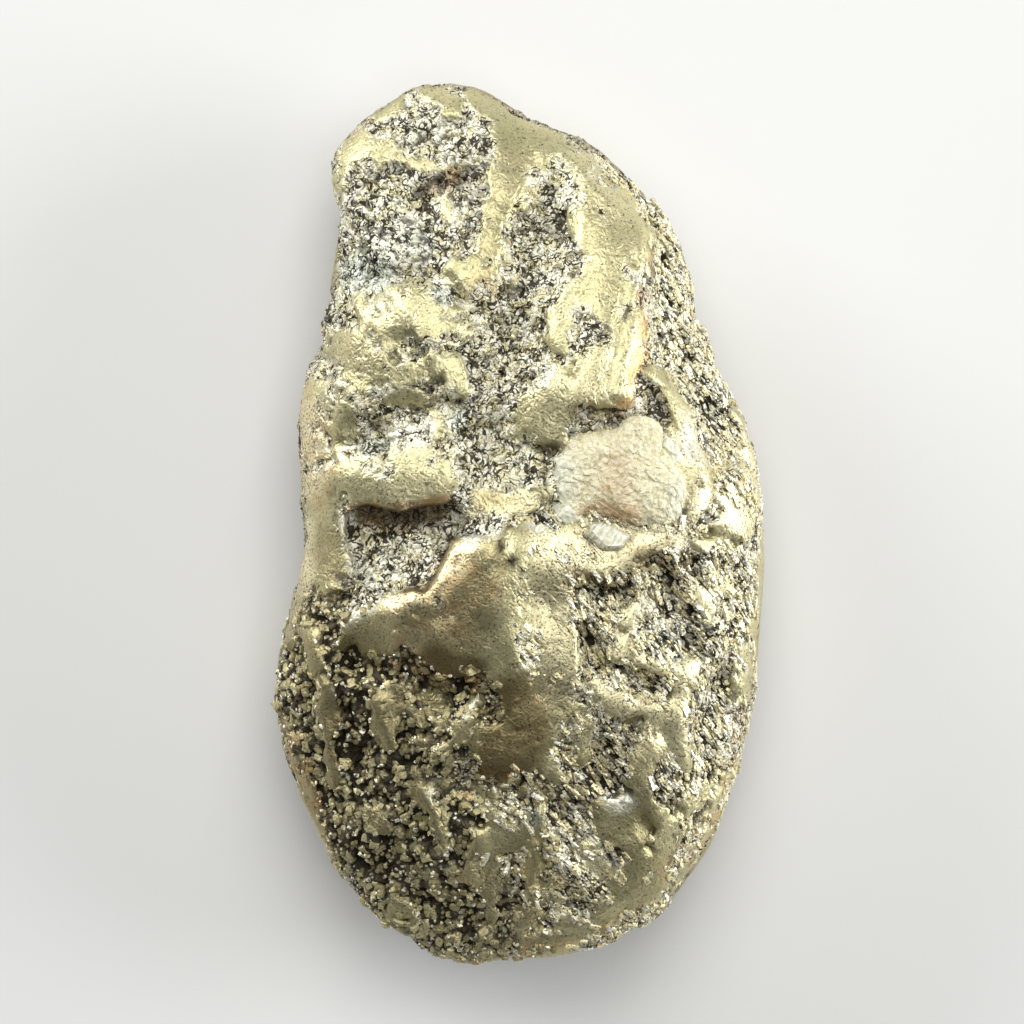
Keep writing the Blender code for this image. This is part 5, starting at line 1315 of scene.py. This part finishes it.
def crystal_places(count):
    """Each corner's place in the texture: a small square for each crystal, seen from above."""
    corner, across = squares(count)
    return corner[:, None] + (0.15 + 0.7 * CRYSTAL_PLACES[CRYSTAL_TRIANGLES.ravel()]) / across


def crystal_pieces(ground, material):
    random = np.random.default_rng(5)
    rows = crystal_ground(ground, random)
    rows = rows[:CRYSTAL_PIECES * PIECE_CRYSTALS]
    rows = rows[np.argsort(rows[:, 1])]
    for number, part in enumerate(np.array_split(rows, CRYSTAL_PIECES)):
        count = len(part)
        corners = crystal_corners(part, random).reshape(-1, 3)
        corners[:, 2] = np.maximum(corners[:, 2], LOWEST)
        mesh = mesh_of("crystals", corners, repeated(CRYSTAL_TRIANGLES, 8, count))
        shade = random.uniform(size=count)
        # painted shade on crystals that stand in dark gaps, and a few crystals dark of their own
        dark = np.clip(0.4 * part[:, GAP_AT] * shade + 0.5 * (shade < 0.08), 0.0, 1.0)
        frost = np.where(random.uniform(size=count) < 0.2, 0.2, 1.0)
        skin = np.column_stack([np.full(count, 0.5), dark, np.clip(1.5 * shade, 0.0, 1.0), frost])
        store_skin(mesh, np.repeat(skin, 8, 0), np.repeat(part[:, TINTS], 8, 0))
        store_places(mesh, crystal_places(count))
        metal_piece(mesh, f"domeykite_crystals_{number + 1}", material)


def store_skin(mesh, skin, tints):
    """The values that the metal reads, for crystals and grains, which have no strokes of their own."""
    store_colours(mesh, "skin", skin.T)
    store_colours(mesh, "tint", tints.T)
    store_colours(mesh, "grain", np.zeros((2, len(skin))))


def metal_piece(mesh, name, material):
    piece = link(mesh, name, material, False)
    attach(piece, "root")


# ---------------------------------------------------------------- grains of the raw metal

# Kinds of grain: spacing, share of those places that have one, then half the length, width and height,
# each from the smallest to the largest
FLECKS = (0.36, 0.46, (0.16, 0.46), (0.09, 0.17), (0.10, 0.18))
PEBBLES = (0.38, 0.42, (0.12, 0.34), (0.09, 0.23), (0.11, 0.22))
BEADS = (0.28, 0.18, (0.08, 0.16), (0.06, 0.12), (0.10, 0.17))
GRAIN_KINDS = [(PEBBLES, COARSE_AT), (BEADS, COARSE_AT), (FLECKS, GRAIN_AT)]  # with the ground of each
GRAIN_STEPS = (2, 2, 2)
GRAIN_LEAN = 0.15
GRAIN_SINK = 0.25  # for each mm of a grain's half height
GRAIN_PIECES = 2


def grain_rows(ground, kind, column, random):
    """Ground for grains of one kind, and their three half sizes."""
    spacing, share = kind[:2]
    raw = smooth((ground[:, RAW_AT] - 0.35) / 0.3 + 0.5)
    likely = ground[:, column] * raw * (1.0 - 0.85 * ground[:, GAP_AT])
    rows = spread_out(ground, likely, spacing, random)
    rows = rows[random.uniform(size=len(rows)) < share]
    size = random.uniform(size=(len(rows), 1)) ** 1.8
    low, high = np.array(kind[2:]).T
    return rows, (low + (high - low) * size) * random.uniform(0.85, 1.15, (len(rows), 3))


def grain_corners(rows, sizes, forms, random, uneven=0.10):
    """A rounded, uneven block round each row of ground, in the forms' directions."""
    along, across, up = stances(rows, 2.0 * rows[:, GRAIN_AT], GRAIN_LEAN, random)
    blocky = forms / np.abs(forms).max(1)[:, None] ** 0.6
    rough = 1.0 + random.normal(scale=uneven, size=(len(rows), len(forms), 1))
    shaped = blocky * sizes[:, None] * rough
    shaped[..., 2] -= GRAIN_SINK * sizes[:, None, 2]
    return (rows[:, None, PLACE] + shaped[..., :1] * along[:, None] + shaped[..., 1:2] * across[:, None]
            + shaped[..., 2:] * up[:, None])


def grain_places(forms, triangles, count):
    """Each corner's place in the texture: the grains' tops in small squares, their feet out of the way."""
    corner, across = squares(count)
    angle = np.arccos(forms[:, 2].clip(-1.0, 1.0))[:, None] / np.pi
    disc = 0.5 + 0.45 * angle * forms[:, :2] / np.hypot(*forms[:, :2].T).clip(1e-6)[:, None]
    places = disc[triangles]
    places[(forms[triangles, 2] < -0.99).any(1)] = [(0.02, 0.02), (0.04, 0.02), (0.02, 0.04)]
    return corner[:, None] + places.reshape(1, -1, 2) / across


def grain_colours(rows, pebble, shade):
    """Skin values and tints of each grain: pebbles are khaki, beads and flecks bright."""
    skin = np.column_stack([np.full(len(rows), 0.12), np.zeros(len(rows)),
                            np.where(pebble, 0.35 * shade, 1.0), np.where(pebble, 0.8, 0.3)])
    tints = rows[:, TINTS] * pebble[:, None]
    tints[:, 2] = np.where(pebble, 0.1 + 0.5 * shade[::-1], 0.0)
    fleck = rows[:, GRAIN_AT] > rows[:, COARSE_AT]
    # painted glints: silver on the beads and on some of the flecks
    tints[:, 3] = ~pebble * np.where(fleck, 0.8 * (shade > 0.55), 0.4 + 0.45 * shade)
    return skin, tints


def grain_pieces(ground, material):
    """Khaki pebbles, bright beads and drawn-out flecks that lie in the dark hollows of the raw metal."""
    random = np.random.default_rng(9)
    kinds = [grain_rows(ground, *kind, random) for kind in GRAIN_KINDS]
    rows, sizes = (np.concatenate(parts) for parts in zip(*kinds))
    pebble = np.arange(len(rows)) < len(kinds[0][0])
    forms, triangles = box_sphere(GRAIN_STEPS)
    corners = grain_corners(rows, sizes, forms, random)
    corners[..., 2] = np.maximum(corners[..., 2], LOWEST)
    skin, tints = grain_colours(rows, pebble, random.uniform(size=len(rows)))
    foot = np.clip(0.15 - 1.1 * forms[:, 2], 0.0, 1.0)  # painted shade, darker towards the foot
    for number, part in enumerate(np.array_split(np.arange(len(rows)), GRAIN_PIECES)):
        count, each = len(part), len(forms)
        mesh = mesh_of("grains", corners[part].reshape(-1, 3), repeated(triangles, each, count))
        values = np.repeat(skin[part], each, 0)
        values[:, 1] = np.tile(foot, count)
        store_skin(mesh, values, np.repeat(tints[part], each, 0))
        store_places(mesh, grain_places(forms, triangles, count))
        metal_piece(mesh, f"domeykite_grains_{number + 1}", material)


# ---------------------------------------------------------------- stage, in metres

LIGHTS = [  # name, place, size, power in watts, colour
    ("overhead", (0.02, 0.0, 0.43), 0.22, 0.40, (1.0, 1.0, 1.0)),
    ("key", (0.03, 0.23, 0.35), 0.26, 0.90, (1.0, 0.99, 0.95)),
    ("right", (0.40, 0.04, 0.12), 0.24, 1.5, (1.0, 1.0, 1.0)),
    ("left", (-0.30, 0.26, 0.12), 0.22, 1.25, (1.0, 1.0, 1.0)),
]
LIGHT_TARGET = (0.0, 0.0, 0.006)
FLOOR_HALF = 1.5
FLOOR_COLOUR = (0.80, 0.80, 0.79, 1)
STUDIO_COLOUR = (0.9, 0.95, 1.0, 1)
STUDIO_STRENGTH = 0.10
CAMERA_PLACE = (-0.00048, 0.00077, 0.411)
CAMERA_LENS = 250  # millimetres, as is the sensor
CAMERA_SENSOR = 36


def area_light(name, place, size, power, colour):
    data = bpy.data.lights.new(name, "AREA")
    data.size = size
    data.energy = power
    data.color = colour
    lamp = bpy.data.objects.new(name, data)
    bpy.context.scene.collection.objects.link(lamp)
    lamp.location = place
    away = np.array(place) - LIGHT_TARGET
    lamp.rotation_mode = "QUATERNION"
    lamp.rotation_quaternion = Vector(away).to_track_quat("Z", "Y")


def make_stage():
    places = FLOOR_HALF / MM * np.column_stack([SQUARE, np.zeros(4)])
    mesh = mesh_of("floor", places, np.array([(0, 1, 2), (0, 2, 3)]))
    material, _, shader, _ = new_material("pale_floor")
    shader.inputs["Base Color"].default_value = FLOOR_COLOUR
    shader.inputs["Roughness"].default_value = 0.9
    link(mesh, "floor", material)
    world = bpy.data.worlds.new("studio")
    world.use_nodes = True
    background = world.node_tree.nodes["Background"]
    background.inputs["Color"].default_value = STUDIO_COLOUR
    background.inputs["Strength"].default_value = STUDIO_STRENGTH
    bpy.context.scene.world = world
    for light in LIGHTS:
        area_light(*light)


def make_camera():
    data = bpy.data.cameras.new("camera")
    data.lens = CAMERA_LENS
    data.sensor_width = CAMERA_SENSOR
    data.clip_start = 0.01
    camera = bpy.data.objects.new("camera", data)
    camera.location = CAMERA_PLACE
    bpy.context.scene.collection.objects.link(camera)
    bpy.context.scene.camera = camera
    bpy.context.scene.view_settings.view_transform = "Standard"


def corners(box):
    return [list(corner) for corner in box]


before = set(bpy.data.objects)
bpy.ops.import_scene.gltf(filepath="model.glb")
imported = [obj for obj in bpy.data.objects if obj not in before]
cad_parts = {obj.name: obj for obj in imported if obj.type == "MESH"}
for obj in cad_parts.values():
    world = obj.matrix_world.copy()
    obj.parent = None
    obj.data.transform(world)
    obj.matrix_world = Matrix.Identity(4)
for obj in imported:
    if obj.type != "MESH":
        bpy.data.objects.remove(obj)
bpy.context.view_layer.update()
make_camera()
make_stage()
metal = metal_material()
body, ground = nugget_mesh()
nugget = link(body, "domeykite_body", metal)
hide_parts("domeykite_nugget")
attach(nugget, "root")
crystal_pieces(ground, metal)
grain_pieces(ground, metal)
lump_piece()
crumb_piece(ground, flake_piece())
